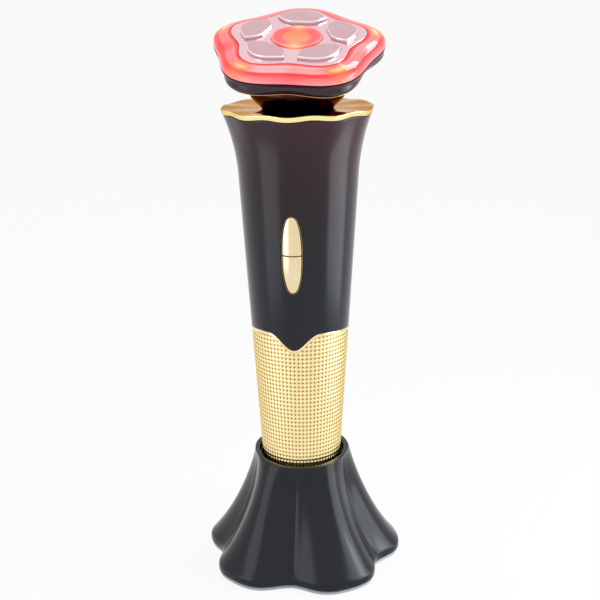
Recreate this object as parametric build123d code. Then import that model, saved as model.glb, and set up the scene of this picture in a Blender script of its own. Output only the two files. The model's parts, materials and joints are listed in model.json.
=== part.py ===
from build123d import *
from math import cos, pi, radians, sin, sqrt, tan
import os

# Facial toning device: a handheld with a tilted five-lobed head, docked in a five-lobed charging stand.
# Millimetres. +Z is up, the buttons face -Y, and the origin is the centre of the foot pad's underside.

# ---------------------------------------------------------------- shared
FIT_GAP = 0.05            # screws and pegs in their holes, plugs in tubes
SLIP_GAP = 0.1            # shells and plates that slide into each other
SHAFT_GAP = 0.04          # radial, turning or plunging shafts
LOBES = 5                 # petals of the head and of the stand
OUTLINE_POINTS = 8        # curve points on each lobe

# ---------------------------------------------------------------- stand
FOOT_THICKNESS = 1.6
FOOT_INSET = 0.6          # foot pad's edge, inside the bell's edge
BASE_HEIGHT = 43.5        # floor to the top of the collar
BASE_RADIUS = 35.3        # mean radius of the bell's bottom band
BASE_SWELL = 3.2          # lobe height above and below the mean
BASE_CREASE = 0.85        # how much narrower the valleys are than the lobes
BAND_HEIGHT = 2.6         # upright band at the bell's bottom
BAND_ROUND = 1.6          # rounding between band and flank
COLLAR_RADIUS = 17.8
FLANK_POWER = 1.52        # how fast the flank flares
FOOT_FLARE = 0.14         # share of the flare that comes only near the band
FOOT_FLARE_POWER = 5
FADE_POWER = 0.55         # how fast the lobes fade towards the collar
CREASE_FADE = 5           # how much faster the creases fade than the lobes
BASE_WALL = 2.2
COLLAR_LIP = 1.5          # height of the lip that hides the cup's edge
COLLAR_GAP = 1.05         # collar lip to the handheld
BASE_PLATE_THICKNESS = 2.0
SHOULDER_FULLNESS = 0.7   # how much the rounding bulges between flank (0) and band (1)
BELL_STEPS = 10
BELL_CROWDING = 1.5       # how much closer together the outlines lie towards the collar
BOSS_INSET = 7.4          # shell's screw bosses, inside the lobes' inner faces
BOSS_RADIUS = 2.4
BOSS_HEIGHT = 9.0
BASE_SCREW_RADIUS = 1.0
BASE_SCREW_LENGTH = 7.0
BASE_SCREW_HEAD_RADIUS = 2.0
BASE_SCREW_HEAD_HEIGHT = 1.1
DOCK_DEPTH = 24.9         # how deep the handheld stands in the collar
CUP_GAP = 0.45
CUP_WALL = 1.2
CUP_FLOOR = 2.0
CUP_FLANGE_RADIUS = 19.8
CUP_SCREW_CIRCLE = 17.3
CUP_SCREW_COUNT = 3
CUP_POST_RADIUS = 2.4
CUP_SCREW_RADIUS = 1.0
CUP_SCREW_LENGTH = 6.0
CUP_SCREW_HEAD_RADIUS = 1.9
CUP_SCREW_HEAD_HEIGHT = 1.0
SEAT_GAP = 0.05           # cup floor to the handheld's end cap
BALLAST_GAP = 1.9         # ballast ring to the shell's bosses
BALLAST_BOARD_GAP = 3.0   # ballast ring's bore to the charging board
BALLAST_POST_GAP = 0.3    # ballast ring's notches to the cup's posts
BALLAST_HEIGHT = 5.0
BOARD_STANDOFF = 1.0
BOARD_THICKNESS = 1.0
CHARGE_BOARD_RADIUS = 12.5
CHARGE_BOARD_TONGUE = 13.0
CHARGE_BOARD_EDGE = 2.8   # board's round end, inside the back lobe's inner face
STANDOFF_SPREAD = 7.5     # standoffs under the board's disc, from its middle lines
STANDOFF_TAIL_SPREAD = 4.3
INLET_WIDTH = 9.0
INLET_HEIGHT = 3.2
INLET_DEPTH = 7.4
INLET_METAL = 0.3
INLET_BACK_WALL = 1.2
INLET_RECESS = 4.6        # inlet's mouth, inside the back lobe's outer face at the band
INLET_SLOT_GAP = 0.3
INLET_TONGUE_WIDTH = 6.6
INLET_TONGUE_THICKNESS = 0.7
INLET_TONGUE_INSET = 1.5  # tongue's tip, inside the mouth
PIN_RADIUS = 0.8
PIN_SPACING = 6.0         # side pin's distance from the centre pin
PIN_TRAVEL = 1.0
PIN_TOUCH_GAP = 0.1
PIN_ROOM = 0.25           # left under a pin that is pushed all the way
PIN_TIP_ROUND = 0.48
PIN_TAIL = 1.5            # solder tails between the board and the pin block
BARREL_WALL = 0.6
BARREL_TAIL_RADIUS = 0.5
PIN_BLOCK_RADIUS = 9.5

# ---------------------------------------------------------------- handle
HANDLE_HEIGHT = 154.9     # end cap's underside to the rim's top
GRIP_RADIUS = 13.27       # outer radius at the end cap's underside
TAPER = 0.0634            # radius gained per millimetre of height
FLARE_HEIGHT = 24.0       # trumpet-shaped stretch under the rim
FLARE_GROWTH = 4.1
RIM_WAVES = 10
RIM_WAVE_HEIGHT = 0.3
SKIN_WALL = 1.6           # wall of the casing and of the sleeve
STRAIGHT_STEPS = 14
FLARE_STEPS = 6
SLEEVE_TOP = 75.7         # height of the sleeve's top edge on the handle
DIP_DEPTH = 6.0           # pointed dip in the sleeve's top edge
DIP_HALF_WIDTH = 9.2
DIP_GAP = 0.05
DIP_STEPS = 16
CAP_FLANGE = 2.0
CAP_DISC = 1.4
CAP_SPIGOT = 6.0
CAP_SPIGOT_WALL = 1.4
CONTACT_RECESS = 0.4
CONTACT_THICKNESS = 1.2
CENTRE_CONTACT_RADIUS = 2.3
RING_CONTACT_WIDTH = 2.8
TRIM_HEIGHT = 1.72
TRIM_WIDTH = 1.3
RIM_PLATE_THICKNESS = 1.25

# ---------------------------------------------------------------- inside the handle
CHASSIS_WALL = 1.2
CHASSIS_DROP = 11.78      # chassis's top edge, below the casing's
BATTERY_RADIUS = 9.0
BATTERY_LENGTH = 65.0
BATTERY_BASE = 11.4       # height of the battery's underside on the handle
BATTERY_CAP_RADIUS = 3.0
BATTERY_CAP_HEIGHT = 1.0
RIB_THICKNESS = 1.6
RIB_HEIGHTS = (15.0, 43.0, 71.0)
BATTERY_PAD_THICKNESS = 2.0
CHASSIS_SCREW_RADIUS = 1.0
CHASSIS_SCREW_LENGTH = 7.5
CHASSIS_SCREW_HEAD_RADIUS = 1.8
CHASSIS_SCREW_HEAD_HEIGHT = 1.2
LUG_HEIGHT = 5.4
LUG_DEPTH = 4.0           # each half's lug, measured from the parting plane
LUG_WIDTH = 6.4
LOWER_LUG_HEIGHT = 84.0   # on the handle
UPPER_LUG_DROP = 10.0     # below the chassis's top edge
MOTOR_RADIUS = 6.0
MOTOR_LENGTH = 16.0
MOTOR_DROP = 20.0         # motor's underside, below the chassis's top edge
MOTOR_OFFSET = 3.5        # motor's axis, behind the handle's axis
MOTOR_BORE_DEPTH = 6.0
MOTOR_SHAFT_RADIUS = 1.0
MOTOR_SHAFT_REACH = 9.0
MOTOR_SHELF_RISE = 4.0
MOTOR_SHELF_THICKNESS = 4.0
WEIGHT_RADIUS = 5.0
WEIGHT_HEIGHT = 6.0
WEIGHT_LIFT = 2.0
WEIGHT_HUB_RADIUS = 2.2

# ---------------------------------------------------------------- buttons and main board
BUTTON_HEIGHT_ON_HANDLE = 105.4
BUTTON_HALF_WIDTH = 3.55
BUTTON_HALF_HEIGHT = 13.85
BUTTON_SPLIT = 0.3
BUTTON_PROUD = 1.0
BUTTON_CROWN = 0.7
BUTTON_GAP = 0.2
BUTTON_TRAVEL = 0.6
BEZEL_WIDTH = 0.55
BEZEL_PROUD = 0.2
BUTTON_FLANGE_DEPTH = 2.3
BUTTON_FLANGE_THICKNESS = 0.7
BUTTON_FLANGE_EXTRA = 0.9
MEMBRANE_DEPTH = 3.8
MEMBRANE_THICKNESS = 0.6
WINDOW_MARGIN = 0.75
WINDOW_FRAME_WIDTH = 1.8
BOARD_DEPTH = 8.0
MAIN_BOARD_THICKNESS = 1.2
MAIN_BOARD_WIDTH = 19.0
BOARD_TOP_DROP = 2.0      # board's top edge, below the chassis's
BOARD_FOOT_HEIGHT = 83.4  # board's lower edge on the handle
BOARD_HOLE_INSET = 2.4
BOARD_POST_RADIUS = 1.8
BOARD_SCREW_RADIUS = 0.8
BOARD_SCREW_LENGTH = 4.2
BOARD_SCREW_HEAD_RADIUS = 1.5
BOARD_SCREW_HEAD_HEIGHT = 1.0
SWITCH_SIZE = 6.0
SWITCH_HEIGHT = 2.2
SWITCH_PLUNGER_RADIUS = 1.6
SWITCH_PLUNGER_GAP = 0.2
SWITCH_SPACING = 12.4
TRANSFORMER_SIZE = (13.0, 13.0, 8.0)
TRANSFORMER_SLOT_WIDTH = 3.2
TRANSFORMER_SLOT_DEPTH = 2.6
TRANSFORMER_LIFT = 11.0   # transformer's centre, above the board's lower edge

# ---------------------------------------------------------------- head
HEAD_TILT = 19.1          # degrees, face leaning to the front
HEAD_LEAN = 2.4           # degrees, face leaning to +X
NECK_CROSSING = 12.05     # rim's top to where the head's axis crosses the handle's axis
HEAD_DEPTH = 12.8         # bowl's flat underside to the electrode plate's top
NECK_RADIUS = 12.5        # at the rim plate
NECK_FUNNEL_RADIUS = 17.0 # at the top of the funnel that stands on the rim plate
NECK_FUNNEL_HEIGHT = 4.2
NECK_TAPER = 0.04         # radius gained per millimetre above the funnel
NECK_BORE = 9.0
NECK_FLANGE_RADIUS = 16.0
NECK_FLANGE_THICKNESS = 1.6
NECK_SCREW_COUNT = 3
NECK_SCREW_RADIUS = 0.8
NECK_SCREW_HEAD_RADIUS = 1.4
NECK_SCREW_HEAD_HEIGHT = 0.9
NECK_SCREW_LENGTH = 2.4
BOWL_RADII = (19.2, 22.4, 26.1, 28.4, 29.3)      # mean outline radius, from the flat underside up
BOWL_SWELLS = (1.1, 2.0, 2.6, 2.3, 1.9)
BOWL_DEPTHS = (12.8, 11.6, 10.0, 7.6, 4.9)       # below the plate's top
BOWL_FLOOR = 1.8
BOWL_CAVITY_LOW = 16.5
BOWL_CAVITY_HIGH = 22.5
LED_SEAT_RADIUS = 24.5
LED_BOARD_DEPTH = 5.8     # plate's top to the LED board's top
LED_BOARD_THICKNESS = 1.0
LED_SIZE = 3.5
LED_HEIGHT = 1.0
LED_DOME_RADIUS = 1.4
RING_LED_CIRCLE = 21.5
GASKET_THICKNESS = 0.4
GASKET_WIDTH = 1.6
RING_RADII = (29.3, 29.2, 28.7, 27.8)            # from the lower edge up to the ridge
RING_DEPTHS = (4.5, 3.2, 2.0, 1.5)
RING_SWELL = 1.76
RING_BORE = 18.0
PLATE_RADIUS = 22.5
PLATE_SWELL = 2.15
PLATE_THICKNESS = 1.2
LENS_RADIUS = 9.0
LENS_PROUD = 0.5
LENS_FLANGE = 1.5
LENS_FLANGE_THICKNESS = 1.0
LENS_DISH_RADIUS = 5.6
LENS_DISH_DEPTH = 0.35
PAD_RADIUS = 19.3
PAD_SWELL = 1.7
PAD_INNER = 11.2          # straight inner edge, from the centre
PAD_CLIP = 1.4            # clipped inner corners
PAD_HEIGHT = 1.2
PAD_SPACING = 4.8
PAD_EDGE = 0.35
HEAD_SCREW_COUNT = 3
HEAD_SCREW_CIRCLE = 12.4
HEAD_SCREW_RADIUS = 0.9
HEAD_SCREW_HEAD_RADIUS = 1.7
HEAD_SCREW_HEAD_HEIGHT = 1.1
HEAD_SCREW_LENGTH = 5.0
RIBBON_WIDTH = 7.0
RIBBON_THICKNESS = 0.3
RIBBON_RISE = 4.0         # upright stretch at each end of the ribbon

# ---------------------------------------------------------------- heights worked out from the sizes
PLATE_TOP = FOOT_THICKNESS + BASE_PLATE_THICKNESS
BAND_TOP = FOOT_THICKNESS + BAND_HEIGHT
BOTTOM = BASE_HEIGHT - DOCK_DEPTH                # end cap's underside
RIM_TOP = BOTTOM + HANDLE_HEIGHT
CASING_TOP = RIM_TOP - TRIM_HEIGHT
FLARE_START = RIM_TOP - FLARE_HEIGHT
SLEEVE_BOTTOM = BOTTOM + CAP_FLANGE
SLEEVE_EDGE = BOTTOM + SLEEVE_TOP
CHASSIS_BOTTOM = SLEEVE_BOTTOM + CAP_SPIGOT
CHASSIS_EDGE = CASING_TOP - CHASSIS_DROP
LUG_CENTRES = (BOTTOM + LOWER_LUG_HEIGHT, CHASSIS_EDGE - UPPER_LUG_DROP)
BATTERY_Z = BOTTOM + BATTERY_BASE
MOTOR_Z = CHASSIS_EDGE - MOTOR_DROP
CUP_FLOOR_TOP = BOTTOM - SEAT_GAP
CUP_FLOOR_UNDER = CUP_FLOOR_TOP - CUP_FLOOR
CONTACT_FACE = BOTTOM + CONTACT_RECESS
BOARD_UNDER = PLATE_TOP + BOARD_STANDOFF
BOARD_TOP = BOARD_UNDER + BOARD_THICKNESS
PIN_BLOCK_LOW = BOARD_TOP + PIN_TAIL
PIN_BLOCK_HEIGHT = CUP_FLOOR_UNDER - PIN_BLOCK_LOW
PIN_TIP = CONTACT_FACE - PIN_TOUCH_GAP
PIN_FOOT = PIN_BLOCK_LOW + BARREL_WALL + PIN_ROOM + PIN_TRAVEL
BOSS_CIRCLE = BASE_RADIUS + BASE_SWELL - BASE_WALL - BOSS_INSET
BALLAST_RADIUS = BOSS_CIRCLE - BOSS_RADIUS - BALLAST_GAP
BALLAST_BORE = CHARGE_BOARD_RADIUS + BALLAST_BOARD_GAP
BUTTON_Z = BOTTOM + BUTTON_HEIGHT_ON_HANDLE
MAIN_BOARD_UP = CHASSIS_EDGE - BOARD_TOP_DROP - BUTTON_Z
MAIN_BOARD_DOWN = BUTTON_Z - BOTTOM - BOARD_FOOT_HEIGHT
PIN_PLACES = ((0.0, 0.0), (PIN_SPACING, 0.0))
BACK_LOBE = 90.0                                  # degrees; the other lobes follow every 72
UPRIGHT = (Align.CENTER, Align.CENTER, Align.MIN)


def grip_radius(z):
    """Outer radius of the handle's straight taper at height z."""
    return GRIP_RADIUS + TAPER * (z - BOTTOM)


def handle_radius(z):
    """Outer radius of the handle, with the flare under the rim."""
    into_flare = max(0.0, z - FLARE_START) / FLARE_HEIGHT
    return grip_radius(z) + FLARE_GROWTH * into_flare ** 2


def head_direction(along, across):
    """A direction of the tilted and leaning head, from its share along and across the head's axis."""
    tilt = radians(HEAD_TILT)
    return (across, -along * sin(tilt), along * cos(tilt))


LEAN = radians(HEAD_LEAN)
HEAD_PIVOT = (0, 0, RIM_TOP + NECK_CROSSING)
HEAD_NORMAL = head_direction(cos(LEAN), sin(LEAN))
HEAD_SIDE = head_direction(-sin(LEAN), cos(LEAN))
BOWL_UNDER = Plane(origin=HEAD_PIVOT, x_dir=HEAD_SIDE, z_dir=HEAD_NORMAL)
FACE = BOWL_UNDER.offset(HEAD_DEPTH)              # top of the electrode plate; local +Y points back
SLOPE = sqrt(1 + TAPER ** 2)
BUTTON_NORMAL = (0, -1 / SLOPE, -TAPER / SLOPE)
BUTTON_FACE = Plane(origin=(0, -grip_radius(BUTTON_Z), BUTTON_Z), x_dir=(1, 0, 0), z_dir=BUTTON_NORMAL)


# ---------------------------------------------------------------- helpers
def tube(outer, inner, height):
    """An upright ring standing on z = 0."""
    return Cylinder(outer, height, align=UPRIGHT) - Cylinder(inner, height, align=UPRIGHT)


def rod(radius, height):
    return Cylinder(radius, height, align=UPRIGHT)


def around(count, radius, start=BACK_LOBE):
    """Places evenly spaced round a circle."""
    turns = [radians(start + 360.0 * i / count) for i in range(count)]
    return [(radius * cos(turn), radius * sin(turn)) for turn in turns]


def group(solids):
    """Identical pieces that share a node, as separate solids."""
    return Compound(children=list(solids))


def lobe_point(turn, radius, swell, lobes, crease=0.0):
    """The point of a lobed outline in one direction, given in radians."""
    wave = lobes * (turn - radians(BACK_LOBE))
    reach = radius + swell * cos(wave) - crease * cos(2 * wave)
    return (reach * cos(turn), reach * sin(turn))


def lobed_wire(radius, swell, lobes=LOBES, crease=0.0):
    """A closed smooth outline with equal lobes, one of them at the back."""
    count = lobes * OUTLINE_POINTS
    turns = [2 * pi * i / count for i in range(count)]
    points = [lobe_point(turn, radius, swell, lobes, crease) for turn in turns]
    return Wire([Spline(*points, periodic=True)])


def crest_wire(radius, swell, lobes):
    """The same outline without a crease, with a curve of its own from each crest to the next."""
    curves = []
    for i in range(lobes):
        steps = [i + step / OUTLINE_POINTS for step in range(OUTLINE_POINTS + 1)]
        turns = [radians(BACK_LOBE) + 2 * pi * step / lobes for step in steps]
        points = [lobe_point(turn, radius, swell, lobes) for turn in turns]
        ends = [(-sin(turn), cos(turn)) for turn in (turns[0], turns[-1])]
        curves.append(Spline(*points, tangents=ends))
    return Wire(curves)


def lobed_face(radius, swell, lobes=LOBES, crease=0.0):
    return Face(lobed_wire(radius, swell, lobes, crease))


def lobed_slab(radius, swell, height, crease=0.0):
    return extrude(lobed_face(radius, swell, crease=crease), height)


def lobed_loft(sections, lobes=LOBES, crease=0.0, ruled=False):
    """A solid through lobed outlines, each given as (height, radius, swell)."""
    widest = max(swell for _, _, swell in sections)
    wires = []
    for height, radius, swell in sections:
        share = crease * (swell / widest) ** CREASE_FADE if widest else 0.0
        wires.append(Pos(0, 0, height) * lobed_wire(radius, swell, lobes, share))
    return Solid.make_loft(wires, ruled)


def cone_solid(low, high, inset, radius_at=grip_radius):
    """The handle's taper between two heights, made thinner by inset all round."""
    bottom = radius_at(low) - inset
    top = radius_at(high) - inset
    return Pos(0, 0, low) * Cone(bottom, top, high - low, align=UPRIGHT)


def ellipse_prism(plane, half_width, half_height, near, far):
    """An elliptical column standing on a plane, from depth near to depth far behind it."""
    outline = plane.offset(-far) * Ellipse(half_width, half_height)
    return extrude(outline, far - near, dir=plane.z_dir)


def screw(head_radius, head_height, radius, length):
    """A pan-head screw standing head up, its head's underside at z = 0."""
    return rod(head_radius, head_height) + Pos(0, 0, -length) * rod(radius, length)


def screw_hole(radius, length):
    return Pos(0, 0, -length) * rod(radius + FIT_GAP, length)


# ---------------------------------------------------------------- stand
def bell_sections(inset):
    """Outlines of the bell from the flank's foot to the collar, made smaller by inset."""
    flank_height = BASE_HEIGHT - BAND_TOP - BAND_ROUND
    sections = []
    for i in range(BELL_STEPS + 1):
        below_collar = flank_height * (1 - i / BELL_STEPS) ** BELL_CROWDING
        share = below_collar / (BASE_HEIGHT - BAND_TOP)
        flare = (1 - FOOT_FLARE) * share ** FLANK_POWER + FOOT_FLARE * share ** FOOT_FLARE_POWER
        radius = COLLAR_RADIUS + (BASE_RADIUS - COLLAR_RADIUS) * flare
        sections.append((BASE_HEIGHT - below_collar, radius - inset, BASE_SWELL * share ** FADE_POWER))
    return sections


def bell_solid(inset):
    """The whole bell, filled, made smaller by inset: a band, its rounding and the flank."""
    flank = bell_sections(inset)
    band_edge = BASE_RADIUS - inset
    flank_foot_radius = flank[0][1]
    band = [(FOOT_THICKNESS, band_edge, BASE_SWELL), (BAND_TOP, band_edge, BASE_SWELL)]
    shoulder_radius = flank_foot_radius + SHOULDER_FULLNESS * (band_edge - flank_foot_radius)
    shoulder_swell = (BASE_SWELL + flank[0][2]) / 2
    shoulder = [band[1], (BAND_TOP + BAND_ROUND / 2, shoulder_radius, shoulder_swell), flank[0]]
    lower = lobed_loft(band, crease=BASE_CREASE)
    middle = lobed_loft(shoulder, crease=BASE_CREASE)
    upper = lobed_loft(flank, crease=BASE_CREASE * (flank[0][2] / BASE_SWELL) ** CREASE_FADE)
    return lower + middle + upper


def boss_places():
    """Screw bosses in every lobe but the back one, which holds the inlet."""
    return around(LOBES, BOSS_CIRCLE)[1:]


def inlet_place():
    """Centre of the inlet's mouth."""
    back = BASE_RADIUS + BASE_SWELL - BASE_CREASE - INLET_RECESS
    return (0, back, BOARD_TOP + INLET_HEIGHT / 2)


def inlet_profile(grow, depth):
    """A rounded slot profile, pushed from the inlet's mouth towards the front."""
    x, y, z = inlet_place()
    height = INLET_HEIGHT + 2 * grow
    width = INLET_WIDTH + 2 * grow
    mouth = Plane(origin=(x, y, z), x_dir=(1, 0, 0), z_dir=(0, -1, 0))
    return extrude(mouth * SlotOverall(width, height), depth)


def cup_cone(low, high, growth):
    """The docking cup's taper, which follows the handle at a distance."""
    return cone_solid(low, high, -growth)


def make_base_shell():
    body = bell_solid(0)
    cavity = bell_solid(BASE_WALL)
    bore_top = BASE_HEIGHT - COLLAR_LIP
    below_lip = Pos(0, 0, bore_top) * rod(BASE_RADIUS, COLLAR_LIP)
    shell = body - (cavity - below_lip)
    shell -= cup_cone(CUP_FLOOR_UNDER, bore_top, CUP_GAP + CUP_WALL + SLIP_GAP)
    shell -= Pos(0, 0, bore_top) * rod(grip_radius(BASE_HEIGHT) + COLLAR_GAP, COLLAR_LIP)
    for x, y in boss_places():
        shell += body & Pos(x, y, PLATE_TOP) * rod(BOSS_RADIUS, BOSS_HEIGHT)
        shell -= Pos(x, y, PLATE_TOP) * rod(BASE_SCREW_RADIUS + FIT_GAP, BASE_SCREW_LENGTH)
    outside = INLET_RECESS + BASE_WALL
    return shell - Pos(0, outside, 0) * inlet_profile(INLET_SLOT_GAP, outside + 2 * BASE_WALL)


def make_base_plate():
    plate = Pos(0, 0, FOOT_THICKNESS) * lobed_slab(
        BASE_RADIUS - BASE_WALL - SLIP_GAP, BASE_SWELL, BASE_PLATE_THICKNESS, BASE_CREASE)
    for x, y in around(CUP_SCREW_COUNT, CUP_SCREW_CIRCLE, -BACK_LOBE):
        plate += Pos(x, y, PLATE_TOP) * rod(CUP_POST_RADIUS, CUP_FLOOR_UNDER - PLATE_TOP)
        plate -= Pos(x, y, CUP_FLOOR_UNDER) * screw_hole(CUP_SCREW_RADIUS, CUP_SCREW_LENGTH - CUP_FLOOR)
    for x, y in board_standoffs():
        plate += Pos(x, y, PLATE_TOP) * rod(BASE_SCREW_RADIUS, BOARD_STANDOFF)
    for x, y in boss_places():
        plate -= Pos(x, y, FOOT_THICKNESS) * rod(BASE_SCREW_RADIUS + FIT_GAP, BASE_PLATE_THICKNESS)
        plate -= Pos(x, y, FOOT_THICKNESS) * rod(BASE_SCREW_HEAD_RADIUS + FIT_GAP, BASE_SCREW_HEAD_HEIGHT)
    return plate


def board_standoffs():
    side = STANDOFF_SPREAD
    tail = STANDOFF_TAIL_SPREAD
    back = inlet_place()[1] - INLET_DEPTH
    return [(-side, -side), (side, -side), (-tail, back), (tail, back)]


def make_foot_pad():
    return lobed_slab(BASE_RADIUS - FOOT_INSET, BASE_SWELL, FOOT_THICKNESS, BASE_CREASE)


def make_base_screws():
    """Screws that stand head down, from under the base plate into the shell's bosses."""
    head_top = FOOT_THICKNESS + BASE_SCREW_HEAD_HEIGHT
    length = PLATE_TOP - head_top + BASE_SCREW_LENGTH - FIT_GAP
    upward = Rot(180, 0, 0) * screw(BASE_SCREW_HEAD_RADIUS, BASE_SCREW_HEAD_HEIGHT, BASE_SCREW_RADIUS, length)
    return group(Pos(x, y, head_top) * upward for x, y in boss_places())


def make_docking_cup():
    mouth = BASE_HEIGHT - COLLAR_LIP
    cup = cup_cone(CUP_FLOOR_UNDER, mouth, CUP_GAP + CUP_WALL)
    cup += Pos(0, 0, CUP_FLOOR_UNDER) * rod(CUP_FLANGE_RADIUS, CUP_FLOOR)
    cup -= cup_cone(CUP_FLOOR_TOP, mouth, CUP_GAP)
    for x, y in PIN_PLACES:
        cup -= Pos(x, y, CUP_FLOOR_UNDER) * rod(PIN_RADIUS + CUP_GAP, CUP_FLOOR)
    for x, y in around(CUP_SCREW_COUNT, CUP_SCREW_CIRCLE, -BACK_LOBE):
        cup -= Pos(x, y, CUP_FLOOR_UNDER) * rod(CUP_SCREW_RADIUS + FIT_GAP, CUP_FLOOR)
    return cup


def make_cup_screws():
    one = screw(CUP_SCREW_HEAD_RADIUS, CUP_SCREW_HEAD_HEIGHT, CUP_SCREW_RADIUS, CUP_SCREW_LENGTH - FIT_GAP)
    places = around(CUP_SCREW_COUNT, CUP_SCREW_CIRCLE, -BACK_LOBE)
    return group(Pos(x, y, CUP_FLOOR_TOP) * one for x, y in places)


def make_ballast_weight():
    """A steel ring notched round the cup's posts, with a gap at the back for the charging board's tongue."""
    ring = Pos(0, 0, PLATE_TOP) * tube(BALLAST_RADIUS, BALLAST_BORE, BALLAST_HEIGHT)
    for x, y in around(CUP_SCREW_COUNT, CUP_SCREW_CIRCLE, -BACK_LOBE):
        ring -= Pos(x, y, PLATE_TOP) * rod(CUP_POST_RADIUS + BALLAST_POST_GAP, BALLAST_HEIGHT)
    gap_width = CHARGE_BOARD_TONGUE + 2 * CUP_GAP
    gap = Pos(0, BALLAST_RADIUS / 2, PLATE_TOP) * Box(
        gap_width, BALLAST_RADIUS, BALLAST_HEIGHT, align=UPRIGHT)
    return ring - gap


def make_charging_board():
    reach = inlet_place()[1]
    board = rod(CHARGE_BOARD_RADIUS, BOARD_THICKNESS)
    board += Pos(0, reach / 2, 0) * Box(CHARGE_BOARD_TONGUE, reach, BOARD_THICKNESS, align=UPRIGHT)
    inside_wall = BASE_RADIUS + BASE_SWELL - BASE_CREASE - BASE_WALL - CHARGE_BOARD_EDGE
    board &= rod(inside_wall, BOARD_THICKNESS)
    return Pos(0, 0, BOARD_UNDER) * board


def make_usb_c_inlet():
    x, y, z = inlet_place()
    metal = inlet_profile(0, INLET_DEPTH) - inlet_profile(-INLET_METAL, INLET_DEPTH - INLET_BACK_WALL)
    tongue_length = INLET_DEPTH - INLET_TONGUE_INSET
    tongue = Box(INLET_TONGUE_WIDTH, tongue_length, INLET_TONGUE_THICKNESS)
    return metal + Pos(x, y - INLET_DEPTH + tongue_length / 2, z) * tongue


def make_pin_block():
    block = rod(PIN_BLOCK_RADIUS, PIN_BLOCK_HEIGHT)
    for x, y in PIN_PLACES:
        block -= Pos(x, y, 0) * rod(PIN_RADIUS + BARREL_WALL + FIT_GAP, PIN_BLOCK_HEIGHT)
    return Pos(0, 0, PIN_BLOCK_LOW) * block


def make_pin_barrels():
    """Brass barrels that guide the pins, with solder tails down to the board."""
    barrel = rod(PIN_RADIUS + BARREL_WALL, PIN_BLOCK_HEIGHT)
    barrel -= Pos(0, 0, BARREL_WALL) * rod(PIN_RADIUS + SHAFT_GAP, PIN_BLOCK_HEIGHT)
    barrel += Pos(0, 0, -PIN_TAIL) * rod(BARREL_TAIL_RADIUS, PIN_TAIL)
    return group(Pos(x, y, PIN_BLOCK_LOW) * barrel for x, y in PIN_PLACES)


def make_charging_pin(place):
    x, y = place
    pin = rod(PIN_RADIUS, PIN_TIP - PIN_FOOT)
    pin = fillet(pin.edges().group_by(Axis.Z)[-1], PIN_TIP_ROUND)
    return Pos(x, y, PIN_FOOT) * pin


# ---------------------------------------------------------------- handle's outside
def dip_prism(grow):
    """A front-facing prism under the sleeve's pointed dip, grown all round by grow."""
    points = []
    for i in range(DIP_STEPS + 1):
        across = -1 + 2 * i / DIP_STEPS
        drop = DIP_DEPTH * (1 + cos(pi * across)) / 2
        points.append((across * (DIP_HALF_WIDTH + grow), -drop - grow))
    above = DIP_DEPTH
    edge = Spline(*points)
    sides = Polyline(points[-1], (points[-1][0], above), (points[0][0], above), points[0])
    outline = make_face(Wire([edge, *sides.edges()]))
    front = Plane(origin=(0, 0, SLEEVE_EDGE), x_dir=(1, 0, 0), z_dir=(0, -1, 0))
    return extrude(front * outline, 2 * GRIP_RADIUS)


def both_dips(grow):
    front = dip_prism(grow)
    return front + Rot(0, 0, 180) * front


def make_knurled_sleeve():
    body = cone_solid(SLEEVE_BOTTOM, SLEEVE_EDGE, 0) - cone_solid(SLEEVE_BOTTOM, SLEEVE_EDGE, SKIN_WALL)
    return body - both_dips(DIP_GAP)


def casing_solid(inset):
    """The casing's stretch of the handle, filled, from the dips' tips to the wavy top, smaller by inset."""
    low = SLEEVE_EDGE - DIP_DEPTH
    heights = [low + (FLARE_START - low) * i / STRAIGHT_STEPS for i in range(STRAIGHT_STEPS)]
    heights += [FLARE_START + (CASING_TOP - FLARE_START) * i / FLARE_STEPS for i in range(FLARE_STEPS + 1)]
    sections = []
    for z in heights:
        into_flare = max(0.0, z - FLARE_START) / FLARE_HEIGHT
        sections.append((z, handle_radius(z) - inset, RIM_WAVE_HEIGHT * into_flare ** 2))
    return lobed_loft(sections, lobes=RIM_WAVES)


def make_outer_casing():
    casing = casing_solid(0) - casing_solid(SKIN_WALL)
    wide = 4 * GRIP_RADIUS
    sleeve_space = Pos(0, 0, SLEEVE_EDGE) * Box(
        wide, wide, 2 * DIP_DEPTH, align=(Align.CENTER, Align.CENTER, Align.MAX))
    casing -= sleeve_space - both_dips(0)
    half_width, half_height = bezel_size(BEZEL_WIDTH + FIT_GAP)
    return casing - ellipse_prism(BUTTON_FACE, half_width, half_height, -BUTTON_PROUD, BUTTON_FLANGE_DEPTH)


def bezel_size(extra):
    """Half width and half height of the button opening, grown by extra."""
    return (BUTTON_HALF_WIDTH + BUTTON_GAP + extra, BUTTON_HALF_HEIGHT + BUTTON_GAP + extra)


def make_button_bezel():
    outer = ellipse_prism(BUTTON_FACE, *bezel_size(BEZEL_WIDTH), -2 * BUTTON_PROUD, BUTTON_FLANGE_DEPTH)
    inner = ellipse_prism(BUTTON_FACE, *bezel_size(0), -2 * BUTTON_PROUD, BUTTON_FLANGE_DEPTH)
    low = BUTTON_Z - 2 * BUTTON_HALF_HEIGHT
    high = BUTTON_Z + 2 * BUTTON_HALF_HEIGHT
    skin = cone_solid(low, high, -BEZEL_PROUD) - cone_solid(low, high, SKIN_WALL)
    return (outer - inner) & skin


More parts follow.
